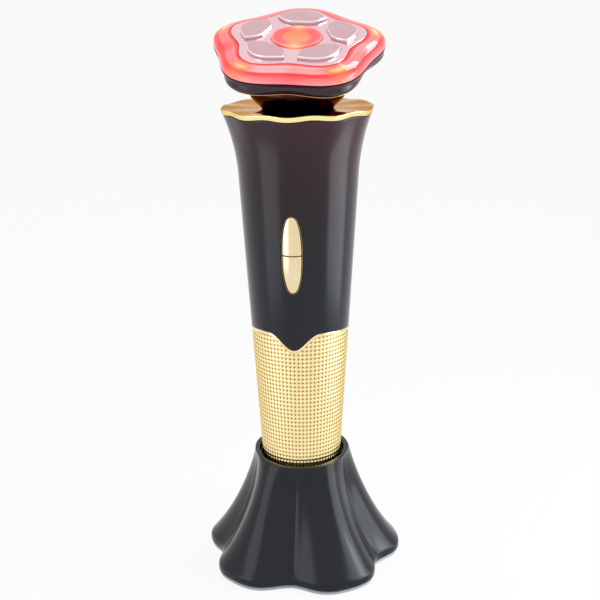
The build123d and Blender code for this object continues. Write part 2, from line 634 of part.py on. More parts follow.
def make_button(upper):
    """Half of the tall ellipse, crowned in front, with a hidden flange behind the casing."""
    crowned = ellipse_prism(
        BUTTON_FACE, BUTTON_HALF_WIDTH, BUTTON_HALF_HEIGHT, -BUTTON_PROUD, BUTTON_FLANGE_DEPTH)
    flange_depth = BUTTON_FLANGE_DEPTH + BUTTON_FLANGE_THICKNESS
    flange = ellipse_prism(
        BUTTON_FACE, BUTTON_HALF_WIDTH + BUTTON_FLANGE_EXTRA, BUTTON_HALF_HEIGHT + BUTTON_FLANGE_EXTRA,
        BUTTON_FLANGE_DEPTH, flange_depth)
    front_edges = crowned.edges().sort_by(SortBy.DISTANCE, reverse=True)
    front = [edge for edge in front_edges if BUTTON_FACE.to_local_coords(edge.center()).Z > 0]
    crowned = fillet([edge for edge in front if edge.length > BUTTON_HALF_HEIGHT], BUTTON_CROWN)
    whole = crowned + flange
    half = BUTTON_HALF_HEIGHT * 2
    side = 1 if upper else -1
    keep_box = BUTTON_FACE * Pos(0, side * (half / 2 + BUTTON_SPLIT / 2), 0) * Box(half, half, half)
    return whole & keep_box


def make_end_cap():
    flange = cone_solid(BOTTOM, SLEEVE_BOTTOM, 0)
    plug_top = SLEEVE_BOTTOM + CAP_SPIGOT
    spigot = cone_solid(SLEEVE_BOTTOM, plug_top, SKIN_WALL + FIT_GAP)
    hollow_low = SLEEVE_BOTTOM + CAP_DISC
    spigot -= cone_solid(hollow_low, plug_top, SKIN_WALL + FIT_GAP + CAP_SPIGOT_WALL)
    cap = flange + spigot
    pocket_depth = CONTACT_RECESS + CONTACT_THICKNESS
    cap -= Pos(0, 0, BOTTOM) * rod(CENTRE_CONTACT_RADIUS + FIT_GAP, pocket_depth)
    ring_outer, ring_inner = ring_contact_radii()
    return cap - Pos(0, 0, BOTTOM) * tube(ring_outer + FIT_GAP, ring_inner - FIT_GAP, pocket_depth)


def ring_contact_radii():
    return (PIN_SPACING + RING_CONTACT_WIDTH / 2, PIN_SPACING - RING_CONTACT_WIDTH / 2)


def make_centre_contact():
    return Pos(0, 0, CONTACT_FACE) * rod(CENTRE_CONTACT_RADIUS, CONTACT_THICKNESS)


def make_ring_contact():
    ring_outer, ring_inner = ring_contact_radii()
    return Pos(0, 0, CONTACT_FACE) * tube(ring_outer, ring_inner, CONTACT_THICKNESS)


def rim_edge_radius():
    """Outer radius of the casing's top edge."""
    return handle_radius(CASING_TOP)


def make_rim_trim():
    low = Pos(0, 0, CASING_TOP) * crest_wire(rim_edge_radius(), RIM_WAVE_HEIGHT, RIM_WAVES)
    high = Pos(0, 0, RIM_TOP) * crest_wire(handle_radius(RIM_TOP), RIM_WAVE_HEIGHT, RIM_WAVES)
    bore = rod(rim_edge_radius() - TRIM_WIDTH, TRIM_HEIGHT)
    return Solid.make_loft([low, high], True) - Pos(0, 0, CASING_TOP) * bore


def make_rim_plate():
    plate = rod(rim_edge_radius() - TRIM_WIDTH - FIT_GAP, RIM_PLATE_THICKNESS)
    plate -= rod(NECK_RADIUS + FIT_GAP, RIM_PLATE_THICKNESS)
    for x, y in neck_screw_places():
        plate -= Pos(x, y, 0) * rod(NECK_SCREW_RADIUS + FIT_GAP, NECK_SCREW_LENGTH - NECK_FLANGE_THICKNESS)
    return Pos(0, 0, CASING_TOP) * plate


# ---------------------------------------------------------------- inside the handle
def chassis_space(low, high):
    """Everything inside the chassis's outer surface between two heights."""
    return cone_solid(low, high, SKIN_WALL + SLIP_GAP)


def lug_reach(z):
    """Distance of a screw lug's centre from the handle's axis, just inside the chassis's wall."""
    return grip_radius(z) - SKIN_WALL - SLIP_GAP - CHASSIS_WALL - LUG_WIDTH / 2


def make_whole_chassis():
    """The carrier as one piece, before it is parted into its two halves."""
    inset = SKIN_WALL + SLIP_GAP + CHASSIS_WALL
    body = chassis_space(CHASSIS_BOTTOM, CHASSIS_EDGE) - cone_solid(CHASSIS_BOTTOM, CHASSIS_EDGE, inset)
    for height in RIB_HEIGHTS:
        z = BOTTOM + height
        body += chassis_space(z, z + RIB_THICKNESS)
        body -= Pos(0, 0, z) * rod(BATTERY_RADIUS + SLIP_GAP, RIB_THICKNESS)
    body += chassis_space(BATTERY_Z - RIB_THICKNESS, BATTERY_Z)
    pad_top = BATTERY_Z + BATTERY_LENGTH + BATTERY_PAD_THICKNESS
    body += chassis_space(pad_top, pad_top + RIB_THICKNESS)
    for z in LUG_CENTRES:
        for side in (-1, 1):
            width = LUG_WIDTH + 2 * CHASSIS_WALL
            x = side * (lug_reach(z) + CHASSIS_WALL)
            lug = Pos(x, 0, z) * Box(width, 2 * LUG_DEPTH, LUG_HEIGHT)
            body += lug & chassis_space(z - LUG_HEIGHT, z + LUG_HEIGHT)
    return body


def half_space(front):
    """A box that holds one side of the parting plane."""
    size = 2 * HANDLE_HEIGHT
    side = -1 if front else 1
    return Pos(0, side * size / 2, BOTTOM + HANDLE_HEIGHT / 2) * Box(size, size, size)


def facing(direction, x, z):
    """A frame on the parting plane for the chassis screws, whose heads are behind."""
    return Plane(origin=(x, direction * LUG_DEPTH, z), x_dir=(1, 0, 0), z_dir=(0, direction, 0))


def lug_planes():
    planes = []
    for z in LUG_CENTRES:
        planes += [facing(1, side * lug_reach(z), z) for side in (-1, 1)]
    return planes


def make_chassis_front(whole):
    body = whole & half_space(True)
    window_width, window_height = window_size()
    frame_width = window_width + WINDOW_FRAME_WIDTH
    frame_height = window_height + WINDOW_FRAME_WIDTH
    frame = ellipse_prism(BUTTON_FACE, frame_width, frame_height, 0, MEMBRANE_DEPTH)
    body += frame & chassis_space(CHASSIS_BOTTOM, CHASSIS_EDGE)
    body -= ellipse_prism(BUTTON_FACE, window_width, window_height, 0, MEMBRANE_DEPTH)
    body -= ellipse_prism(BUTTON_FACE, frame_width, frame_height, MEMBRANE_DEPTH, BOARD_DEPTH)
    board_back = BOARD_DEPTH + MAIN_BOARD_THICKNESS
    pocket = BUTTON_FACE.offset(-BOARD_DEPTH)
    for x, y in board_holes():
        post = extrude(pocket * Pos(x, y) * Circle(BOARD_POST_RADIUS), BOARD_DEPTH)
        body += post & chassis_space(CHASSIS_BOTTOM, CHASSIS_EDGE)
        hole_length = BOARD_SCREW_LENGTH - MAIN_BOARD_THICKNESS
        body -= extrude(pocket * Pos(x, y) * Circle(BOARD_SCREW_RADIUS + FIT_GAP), hole_length)
    for plane in lug_planes():
        body -= plane * screw_hole(CHASSIS_SCREW_RADIUS, CHASSIS_SCREW_LENGTH)
    keep_clear = BUTTON_FACE.offset(-board_back) * Pos(0, (MAIN_BOARD_UP - MAIN_BOARD_DOWN) / 2, 0)
    clear_height = MAIN_BOARD_UP + MAIN_BOARD_DOWN + 2 * SLIP_GAP
    board_space = keep_clear * Box(
        MAIN_BOARD_WIDTH + 2 * SLIP_GAP, clear_height, MAIN_BOARD_THICKNESS, align=UPRIGHT)
    return body - board_space


def make_chassis_rear(whole):
    body = whole & half_space(False)
    shelf_low = MOTOR_Z - RIB_THICKNESS
    body += chassis_space(shelf_low, MOTOR_Z) & half_space(False)
    grip_low = MOTOR_Z + MOTOR_SHELF_RISE
    body += chassis_space(grip_low, grip_low + MOTOR_SHELF_THICKNESS) & half_space(False)
    body -= Pos(0, MOTOR_OFFSET, MOTOR_Z) * rod(MOTOR_RADIUS + FIT_GAP, MOTOR_LENGTH)
    for plane in lug_planes():
        body -= plane * screw_hole(CHASSIS_SCREW_RADIUS, CHASSIS_SCREW_LENGTH)
    return body


def make_chassis_screws():
    one = screw(
        CHASSIS_SCREW_HEAD_RADIUS, CHASSIS_SCREW_HEAD_HEIGHT, CHASSIS_SCREW_RADIUS,
        CHASSIS_SCREW_LENGTH - FIT_GAP)
    return group(plane * one for plane in lug_planes())


def make_battery_cell():
    cell = rod(BATTERY_RADIUS, BATTERY_LENGTH - BATTERY_CAP_HEIGHT)
    cell = fillet(cell.edges().group_by(Axis.Z)[-1], BATTERY_CAP_HEIGHT / 2)
    cell += Pos(0, 0, BATTERY_LENGTH - BATTERY_CAP_HEIGHT) * rod(BATTERY_CAP_RADIUS, BATTERY_CAP_HEIGHT)
    return Pos(0, 0, BATTERY_Z) * cell


def make_battery_pad():
    return Pos(0, 0, BATTERY_Z + BATTERY_LENGTH) * rod(BATTERY_RADIUS, BATTERY_PAD_THICKNESS)


def make_motor_can():
    can = rod(MOTOR_RADIUS, MOTOR_LENGTH)
    bore_low = MOTOR_LENGTH - MOTOR_BORE_DEPTH
    can -= Pos(0, 0, bore_low) * rod(MOTOR_SHAFT_RADIUS + SHAFT_GAP, MOTOR_BORE_DEPTH)
    return Pos(0, MOTOR_OFFSET, MOTOR_Z) * can


def make_motor_shaft():
    low = MOTOR_LENGTH - MOTOR_BORE_DEPTH + SLIP_GAP
    length = MOTOR_LENGTH + MOTOR_SHAFT_REACH - low
    return Pos(0, MOTOR_OFFSET, MOTOR_Z + low) * rod(MOTOR_SHAFT_RADIUS, length)


def make_eccentric_weight():
    """A half disc on a hub, which shakes the handle as it turns."""
    disc = rod(WEIGHT_RADIUS, WEIGHT_HEIGHT)
    disc -= Pos(0, WEIGHT_RADIUS, 0) * Box(
        2 * WEIGHT_RADIUS, 2 * WEIGHT_RADIUS, WEIGHT_HEIGHT, align=UPRIGHT)
    disc += rod(WEIGHT_HUB_RADIUS, WEIGHT_HEIGHT)
    disc -= rod(MOTOR_SHAFT_RADIUS, WEIGHT_HEIGHT)
    return Pos(0, MOTOR_OFFSET, MOTOR_Z + MOTOR_LENGTH + WEIGHT_LIFT) * disc


# ---------------------------------------------------------------- buttons and main board
def window_size():
    """Half width and half height of the chassis's window for the buttons' flanges."""
    extra = BUTTON_FLANGE_EXTRA + WINDOW_MARGIN
    return (BUTTON_HALF_WIDTH + extra, BUTTON_HALF_HEIGHT + extra)


def board_holes():
    side = MAIN_BOARD_WIDTH / 2 - BOARD_HOLE_INSET
    up = MAIN_BOARD_UP - BOARD_HOLE_INSET
    down = MAIN_BOARD_DOWN - BOARD_HOLE_INSET
    return [(-side, up), (side, up), (-side, -down), (side, -down)]


def make_button_membrane():
    window_width, window_height = window_size()
    spread = WINDOW_FRAME_WIDTH - SLIP_GAP
    return ellipse_prism(
        BUTTON_FACE, window_width + spread, window_height + spread,
        MEMBRANE_DEPTH, MEMBRANE_DEPTH + MEMBRANE_THICKNESS)


def make_main_board():
    height = MAIN_BOARD_UP + MAIN_BOARD_DOWN
    middle = (MAIN_BOARD_UP - MAIN_BOARD_DOWN) / 2
    back = BUTTON_FACE.offset(-BOARD_DEPTH - MAIN_BOARD_THICKNESS)
    board = back * Pos(0, middle, 0) * Box(MAIN_BOARD_WIDTH, height, MAIN_BOARD_THICKNESS, align=UPRIGHT)
    for x, y in board_holes():
        board -= back * Pos(x, y, 0) * rod(BOARD_SCREW_RADIUS + FIT_GAP, MAIN_BOARD_THICKNESS)
    return board


def make_board_screws():
    one = screw(
        BOARD_SCREW_HEAD_RADIUS, BOARD_SCREW_HEAD_HEIGHT, BOARD_SCREW_RADIUS, BOARD_SCREW_LENGTH - FIT_GAP)
    back = BUTTON_FACE.offset(-BOARD_DEPTH - MAIN_BOARD_THICKNESS)
    return group(back * Pos(x, y, 0) * Rot(180, 0, 0) * one for x, y in board_holes())


def make_tact_switches():
    front = BUTTON_FACE.offset(-BOARD_DEPTH)
    plunger = BOARD_DEPTH - MEMBRANE_DEPTH - MEMBRANE_THICKNESS - SWITCH_PLUNGER_GAP
    one = Box(SWITCH_SIZE, SWITCH_SIZE, SWITCH_HEIGHT, align=UPRIGHT) + rod(SWITCH_PLUNGER_RADIUS, plunger)
    return group(front * Pos(0, side * SWITCH_SPACING / 2, 0) * one for side in (-1, 1))


def make_rf_transformer():
    back = BUTTON_FACE.offset(-BOARD_DEPTH - MAIN_BOARD_THICKNESS)
    width, height, depth = TRANSFORMER_SIZE
    core = Box(width, height, depth, align=(Align.CENTER, Align.CENTER, Align.MAX))
    slot = Pos(0, 0, -depth) * Box(TRANSFORMER_SLOT_WIDTH, height, TRANSFORMER_SLOT_DEPTH, align=UPRIGHT)
    return back * Pos(0, TRANSFORMER_LIFT - MAIN_BOARD_DOWN, 0) * (core - slot)


# ---------------------------------------------------------------- neck and head
def neck_screw_places():
    circle = (NECK_RADIUS + NECK_FLANGE_RADIUS) / 2
    return around(NECK_SCREW_COUNT, circle)


def make_neck():
    """A funnel with a nearly upright wall above it, cut off on the head's slant."""
    height = 2 * NECK_CROSSING
    foot = CASING_TOP + RIM_PLATE_THICKNESS
    funnel_top = foot + NECK_FUNNEL_HEIGHT
    top_radius = NECK_FUNNEL_RADIUS + NECK_TAPER * height
    neck = Pos(0, 0, foot) * Cone(NECK_RADIUS, NECK_FUNNEL_RADIUS, NECK_FUNNEL_HEIGHT, align=UPRIGHT)
    neck += Pos(0, 0, funnel_top) * Cone(NECK_FUNNEL_RADIUS, top_radius, height, align=UPRIGHT)
    big = 4 * NECK_FUNNEL_RADIUS
    neck -= BOWL_UNDER * Box(big, big, big, align=UPRIGHT)
    neck += Pos(0, 0, CASING_TOP) * rod(NECK_RADIUS, RIM_PLATE_THICKNESS)
    neck += Pos(0, 0, CASING_TOP - NECK_FLANGE_THICKNESS) * rod(NECK_FLANGE_RADIUS, NECK_FLANGE_THICKNESS)
    neck -= Pos(0, 0, CASING_TOP - NECK_FLANGE_THICKNESS) * rod(NECK_BORE, 2 * height)
    for x, y in neck_screw_places():
        neck -= Pos(x, y, CASING_TOP - NECK_FLANGE_THICKNESS) * rod(
            NECK_SCREW_RADIUS + FIT_GAP, NECK_FLANGE_THICKNESS)
    for x, y in head_screw_places():
        neck -= BOWL_UNDER * Pos(x, y, 0) * screw_hole(HEAD_SCREW_RADIUS, HEAD_SCREW_LENGTH - BOWL_FLOOR)
    return neck


def make_neck_screws():
    """Screws that stand head down under the neck's flange and hold the rim plate."""
    one = Rot(180, 0, 0) * screw(
        NECK_SCREW_HEAD_RADIUS, NECK_SCREW_HEAD_HEIGHT, NECK_SCREW_RADIUS, NECK_SCREW_LENGTH - FIT_GAP)
    return group(Pos(x, y, CASING_TOP - NECK_FLANGE_THICKNESS) * one for x, y in neck_screw_places())


def head_screw_places():
    return around(HEAD_SCREW_COUNT, HEAD_SCREW_CIRCLE)


def make_head_shell():
    """The dark lobed bowl under the light ring, with seats for the LED board and the gasket."""
    sections = [(-depth, radius, swell) for depth, radius, swell in zip(BOWL_DEPTHS, BOWL_RADII, BOWL_SWELLS)]
    bowl = lobed_loft(sections)
    seat = LED_BOARD_DEPTH + LED_BOARD_THICKNESS
    floor = HEAD_DEPTH - BOWL_FLOOR
    rim = BOWL_DEPTHS[-1]
    cavity_height = floor - seat
    bowl -= Pos(0, 0, -floor) * Cone(BOWL_CAVITY_LOW, BOWL_CAVITY_HIGH, cavity_height, align=UPRIGHT)
    bowl -= Pos(0, 0, -seat) * rod(LED_SEAT_RADIUS + SLIP_GAP, seat - rim)
    bowl -= Pos(0, 0, -HEAD_DEPTH) * rod(NECK_BORE, BOWL_FLOOR)
    for x, y in head_screw_places():
        bowl -= Pos(x, y, -HEAD_DEPTH) * rod(HEAD_SCREW_RADIUS + FIT_GAP, BOWL_FLOOR)
    return FACE * bowl


def make_head_screws():
    one = screw(
        HEAD_SCREW_HEAD_RADIUS, HEAD_SCREW_HEAD_HEIGHT, HEAD_SCREW_RADIUS, HEAD_SCREW_LENGTH - FIT_GAP)
    return group(FACE * Pos(x, y, BOWL_FLOOR - HEAD_DEPTH) * one for x, y in head_screw_places())


def make_head_gasket():
    """A thin lobed silicone band between the bowl's edge and the light ring."""
    radius = BOWL_RADII[-1]
    outer = lobed_slab(radius - GASKET_THICKNESS, RING_SWELL, GASKET_THICKNESS)
    inner = lobed_slab(radius - GASKET_THICKNESS - GASKET_WIDTH, RING_SWELL, GASKET_THICKNESS)
    return FACE * Pos(0, 0, -BOWL_DEPTHS[-1]) * (outer - inner)


def make_led_board():
    board = rod(LED_SEAT_RADIUS, LED_BOARD_THICKNESS)
    return FACE * Pos(0, 0, -LED_BOARD_DEPTH - LED_BOARD_THICKNESS) * board


def led():
    """A square lamp with a round dome-like lens on top."""
    body = Box(LED_SIZE, LED_SIZE, LED_HEIGHT / 2, align=UPRIGHT)
    return body + Pos(0, 0, LED_HEIGHT / 2) * rod(LED_DOME_RADIUS, LED_HEIGHT / 2)


def make_ring_leds():
    places = around(LOBES, RING_LED_CIRCLE)
    return group(FACE * Pos(x, y, -LED_BOARD_DEPTH) * led() for x, y in places)


def make_centre_led():
    return FACE * Pos(0, 0, -LED_BOARD_DEPTH) * led()


def make_light_ring():
    """The translucent lobed ring: an upright edge, a soft ridge and a top that slopes up to the plate."""
    depths = RING_DEPTHS
    edge = [(-depth, radius, RING_SWELL) for depth, radius in zip(depths, RING_RADII)]
    body = lobed_loft(edge)
    crest = (-depths[-1], RING_RADII[-1], RING_SWELL)
    plate_edge = (0, PLATE_RADIUS + FIT_GAP, PLATE_SWELL)
    body += lobed_loft([crest, plate_edge], ruled=True)
    body -= Pos(0, 0, -PLATE_THICKNESS) * lobed_slab(PLATE_RADIUS + FIT_GAP, PLATE_SWELL, 2 * PLATE_THICKNESS)
    body -= Pos(0, 0, -HEAD_DEPTH) * rod(RING_BORE, HEAD_DEPTH)
    return FACE * body


def make_electrode_plate():
    plate = Pos(0, 0, -PLATE_THICKNESS) * lobed_slab(PLATE_RADIUS, PLATE_SWELL, PLATE_THICKNESS)
    plate -= Pos(0, 0, -PLATE_THICKNESS) * rod(LENS_RADIUS + FIT_GAP, PLATE_THICKNESS)
    return FACE * plate


def make_centre_lens():
    """A round window with a shallow dish, held by a flange under the electrode plate."""
    lens = Pos(0, 0, -PLATE_THICKNESS) * rod(LENS_RADIUS, PLATE_THICKNESS + LENS_PROUD)
    lens = fillet(lens.edges().group_by(Axis.Z)[-1], LENS_PROUD / 2)
    flange_low = -PLATE_THICKNESS - LENS_FLANGE_THICKNESS
    lens += Pos(0, 0, flange_low) * rod(LENS_RADIUS + LENS_FLANGE, LENS_FLANGE_THICKNESS)
    lens -= Pos(0, 0, LENS_PROUD - LENS_DISH_DEPTH) * rod(LENS_DISH_RADIUS, LENS_DISH_DEPTH)
    return FACE * lens


def pad_outline(index):
    """One petal of the electrode: the lobed outline between two straight gaps and a straight inner edge."""
    reach = 2 * PAD_RADIUS
    half_turn = radians(180 / LOBES)
    tip_y = PAD_SPACING / 2 / sin(half_turn)
    side_x = (reach - tip_y) * tan(half_turn)
    clip_y = PAD_INNER + PAD_CLIP
    clip_x = (clip_y - tip_y) * tan(half_turn)
    inner_x = clip_x - PAD_CLIP - PAD_CLIP * tan(half_turn)
    right_side = [(inner_x, PAD_INNER), (clip_x, clip_y), (side_x, reach)]
    left_side = [(-x, y) for x, y in reversed(right_side)]
    wedge = make_face(Polyline(*right_side, *left_side, close=True))
    petal = lobed_face(PAD_RADIUS, PAD_SWELL) & wedge
    return Rot(0, 0, 360 / LOBES * index) * petal


def make_electrode(index):
    pad = extrude(pad_outline(index), PAD_HEIGHT)
    pad = chamfer(pad.edges().group_by(Axis.Z)[-1], PAD_EDGE)
    return FACE * pad


def make_head_ribbon():
    """A flat cable from the main board's top edge, up through the neck's bore, to the LED board."""
    board_top = BUTTON_FACE * Pos(0, MAIN_BOARD_UP, -BOARD_DEPTH - MAIN_BOARD_THICKNESS / 2)
    start_y = board_top.position.Y
    start_z = board_top.position.Z
    neck_low = CASING_TOP - NECK_FLANGE_THICKNESS
    led_under = FACE * Pos(0, 0, -LED_BOARD_DEPTH - LED_BOARD_THICKNESS)
    bend_y = -NECK_BORE / 2
    lean_drop = RIBBON_WIDTH / 2 * tan(LEAN)
    end_z = led_under.position.Z - RIBBON_THICKNESS - lean_drop
    end_y = led_under.position.Y
    points = [
        (start_y, start_z + SLIP_GAP + RIBBON_THICKNESS / 2),
        (start_y, start_z + RIBBON_RISE),
        (bend_y, neck_low),
        (bend_y, end_z - RIBBON_RISE),
        (end_y, end_z),
    ]
    path = Polyline(*points)
    side = Plane(origin=(-RIBBON_WIDTH / 2, 0, 0), x_dir=(0, 1, 0), z_dir=(1, 0, 0))
    strip = offset(path, RIBBON_THICKNESS / 2, side=Side.BOTH)
    return extrude(side * make_face(strip), RIBBON_WIDTH)


# ---------------------------------------------------------------- all pieces
def make_pieces():
    whole_chassis = make_whole_chassis()
    pieces = {
        "foot_pad": make_foot_pad(),
        "base_plate": make_base_plate(),
        "base_shell": make_base_shell(),
        "base_screws": make_base_screws(),
        "docking_cup": make_docking_cup(),
        "cup_screws": make_cup_screws(),
        "ballast_weight": make_ballast_weight(),
        "charging_board": make_charging_board(),
        "usb_c_inlet": make_usb_c_inlet(),
        "pin_block": make_pin_block(),
        "pin_barrels": make_pin_barrels(),
        "centre_charging_pin": make_charging_pin(PIN_PLACES[0]),
        "side_charging_pin": make_charging_pin(PIN_PLACES[1]),
        "end_cap": make_end_cap(),
        "centre_contact": make_centre_contact(),
        "ring_contact": make_ring_contact(),
        "knurled_sleeve": make_knurled_sleeve(),
        "outer_casing": make_outer_casing(),
        "button_bezel": make_button_bezel(),
        "upper_button": make_button(True),
        "lower_button": make_button(False),
        "button_membrane": make_button_membrane(),
        "main_board": make_main_board(),
        "board_screws": make_board_screws(),
        "tact_switches": make_tact_switches(),
        "rf_transformer": make_rf_transformer(),
        "chassis_front": make_chassis_front(whole_chassis),
        "chassis_rear": make_chassis_rear(whole_chassis),
        "chassis_screws": make_chassis_screws(),
        "battery_cell": make_battery_cell(),
        "battery_pad": make_battery_pad(),
        "motor_can": make_motor_can(),
        "motor_shaft": make_motor_shaft(),
        "eccentric_weight": make_eccentric_weight(),
        "rim_trim": make_rim_trim(),
        "rim_plate": make_rim_plate(),
        "neck": make_neck(),
        "neck_screws": make_neck_screws(),
        "head_shell": make_head_shell(),
        "head_screws": make_head_screws(),
        "head_gasket": make_head_gasket(),
        "led_board": make_led_board(),
        "ring_leds": make_ring_leds(),
        "centre_led": make_centre_led(),
        "light_ring": make_light_ring(),
        "electrode_plate": make_electrode_plate(),
        "centre_lens": make_centre_lens(),
        "head_ribbon": make_head_ribbon(),
    }
    names = ("back", "left", "front_left", "front_right", "right")
    for index, name in enumerate(names):
        pieces["electrode_" + name] = make_electrode(index)
    return pieces


os.makedirs("parts", exist_ok=True)
for name, shape in make_pieces().items():
    export_step(shape, "parts/" + name + ".step")
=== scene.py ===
import json
from math import cos, pi, radians, sin, tan

import bmesh
import bpy
import numpy as np
from mathutils import Matrix, Vector


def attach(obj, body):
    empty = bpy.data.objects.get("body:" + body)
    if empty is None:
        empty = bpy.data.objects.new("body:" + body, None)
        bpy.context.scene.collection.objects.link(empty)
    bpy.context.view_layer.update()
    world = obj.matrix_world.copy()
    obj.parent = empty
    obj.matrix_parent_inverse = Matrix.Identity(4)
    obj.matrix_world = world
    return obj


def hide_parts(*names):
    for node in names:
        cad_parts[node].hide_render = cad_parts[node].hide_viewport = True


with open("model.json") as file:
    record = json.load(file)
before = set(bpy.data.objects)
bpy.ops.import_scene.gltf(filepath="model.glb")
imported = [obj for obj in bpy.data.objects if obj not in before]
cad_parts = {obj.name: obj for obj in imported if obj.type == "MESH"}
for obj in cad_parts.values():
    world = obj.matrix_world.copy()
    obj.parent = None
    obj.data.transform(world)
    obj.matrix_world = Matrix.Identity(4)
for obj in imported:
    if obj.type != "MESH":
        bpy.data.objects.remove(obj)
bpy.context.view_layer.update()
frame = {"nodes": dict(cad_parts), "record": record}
nodes = frame["nodes"]

# A handheld facial toning device in its charging stand.
# Shapes are worked out in millimetres, like the sizes below, and every mesh is made in metres.
MM = 0.001

# ---------------- shared sizes
LOBES = 5
BACK = pi / 2  # direction of the first lobe
LOBED_COLUMNS = 360  # points round a lobed outline
ROUND_STEPS = 6  # points on a rounded corner
FIT_GAP = 0.05  # air between two pieces

# ---------------- stand
FOOT_THICKNESS = 1.6
FOOT_INSET = 0.6
FOOT_EDGE = ((1.0, 0.0), (0.35, 0.0), (0.1, 0.12), (0.0, 0.4))  # inwards and up, round its lower edge
BASE_HEIGHT = 43.5
BASE_RADIUS = 35.3
BASE_SWELL = 3.2
BASE_CREASE = 0.85
BAND_TOP = 4.2  # top of the bell's upright band
BAND_ROUND = 0.9
BAND_FOOT_ROUND = 0.5
COLLAR_RADIUS = 17.8
FLANK_POWER = 1.52
FOOT_FLARE = 0.14  # share of the flare that comes only near the band
FOOT_FLARE_POWER = 5
FADE_POWER = 0.55
CREASE_FADE = 5
BASE_WALL = 2.2
COLLAR_LIP = 1.5
COLLAR_BORE = 15.9
COLLAR_LEAN = 1.5  # its edge: higher behind, lower in front
COLLAR_RISE = 0.4
LEAN_FADE = 3  # how soon the lean is lost below the collar
LIP_ROUND = 0.35
LIP_BEVEL = ((0.3, 0.0), (0.08, 0.08), (0.0, 0.3))  # outwards from the bore and down
CUP_OUTER = 16.5  # bore under the collar's lip
BELL_COLUMNS = 720
FLANK_ROWS = 50
FLANK_CROWDING = 1.5  # rows lie closer near the collar
INSIDE_ROWS = 12
FOLD_DEPTH = 0.55  # sharp fold line in each valley
FOLD_WIDTH = radians(2.2)
FOLD_FADE = 12  # how close to the band the fold line ends
INLET_HEIGHT = 3.8  # slot for the inlet
INLET_WIDTH = 9.6
INLET_Z = 7.2
INLET_MOUTH = 33.05  # from the axis
SLOT_COLUMNS = 32

# ---------------- handle
BOTTOM = 18.6  # end cap's underside
GRIP_RADIUS = 13.27  # at BOTTOM
TAPER = 0.0634
SLEEVE_BOTTOM = 20.6
SLEEVE_EDGE = 94.3
DIP_DEPTH = 6.0
DIP_HALF_WIDTH = 9.2
SIDE_DROOP = 1.5
SHOULDER_REACH = 0.72  # where the edge is highest, as a share of the radius
RIM_TOP = 173.5
TRIM_HEIGHT = 1.72
TRIM_WIDTH = 1.3
CASING_TOP = RIM_TOP - TRIM_HEIGHT
FLARE_HEIGHT = 24.0
FLARE_START = RIM_TOP - FLARE_HEIGHT
FLARE_GROWTH = 4.1
RIM_WAVES = 10
RIM_WAVE_HEIGHT = 0.3  # outwards
RIM_WAVE_DROP = 0.26  # downwards, on the outward waves
RIM_PLATE_THICKNESS = 1.25
RIM_PLATE_SEAT = 0.2  # above the casing's top
RIM_PLATE_EDGE = (  # inwards and up
    (TRIM_WIDTH, -FIT_GAP), (0.32, -FIT_GAP), (0.28, 0.02), (0.42, 0.05), (1.2, 0.0))
DISH_ROWS = 8
SKIN_WALL = 1.6
CASING_EDGE = 0.12
CASING_ROWS = 130
CASING_INSIDE_ROWS = 20
STUD_COLUMNS = 72
STUD_ROWS = 47
STUD_HEIGHT = 0.36
STUD_SIDES = 8
STUD_SADDLE = 0.62  # height between two beads, in bead heights
STUD_SHOULDER = (0.62, 0.85)  # reach and height of a bead's shoulder, as shares
PLACE_DIGITS = 4  # points that agree this far are one
CUTTER_BORE = 6.0  # room cut away above the sleeve
CUTTER_RADIUS = 26.0
CUTTER_RISE = 2.0
BORDER_WIDTH = 1.1  # plain line along the sleeve's top edge
BORDER_PROUD = 0.12
BORDER_SECTION = (  # outwards and down
    (-0.5, 0.0), (BORDER_PROUD * 0.3, 0.0), (BORDER_PROUD, 0.2), (BORDER_PROUD, 0.8),
    (BORDER_PROUD * 0.3, BORDER_WIDTH), (-0.5, BORDER_WIDTH))

# ---------------- buttons
BUTTON_Z = 124.0
BUTTON_HALF_WIDTH = 3.3
BUTTON_HALF_HEIGHT = 13.85
BUTTON_BLUNTNESS = 2.35  # 2 would be an ellipse
BUTTON_SPLIT = 0.3
BUTTON_PROUD = 1.0
BUTTON_DOME = 5.5  # radius of the crown across the button
BUTTON_DEPTH = 2.3
BUTTON_GAP = 0.2
BUTTON_TIP = 0.0001  # keeps the points at a tip apart
DOME_REACH = 1.1  # where the crown stops falling, in half widths
SPLIT_EDGE = ((0.0, 0.22), (0.08, 0.05), (0.25, 0.0))  # past the split and down
FIRST_ROW = 0.06  # angle of the first row past that edge
BUTTON_ROWS = 40
BUTTON_COLUMNS = 33
BEZEL_WIDTH = 0.38
BEZEL_PROUD = 0.2
BEZEL_SECTION = (  # outwards and up
    (0.0, -1.4), (0.0, BEZEL_PROUD - 0.1), (0.14, BEZEL_PROUD), (BEZEL_WIDTH - 0.14, BEZEL_PROUD),
    (BEZEL_WIDTH, BEZEL_PROUD - 0.12), (BEZEL_WIDTH, -1.4))
BEZEL_COLUMNS = 160
OPENING_COLUMNS = 96
OPENING_ABOVE = 3.0  # reach of the bezel's cut, past the buttons' plane
OPENING_BELOW = 6.0

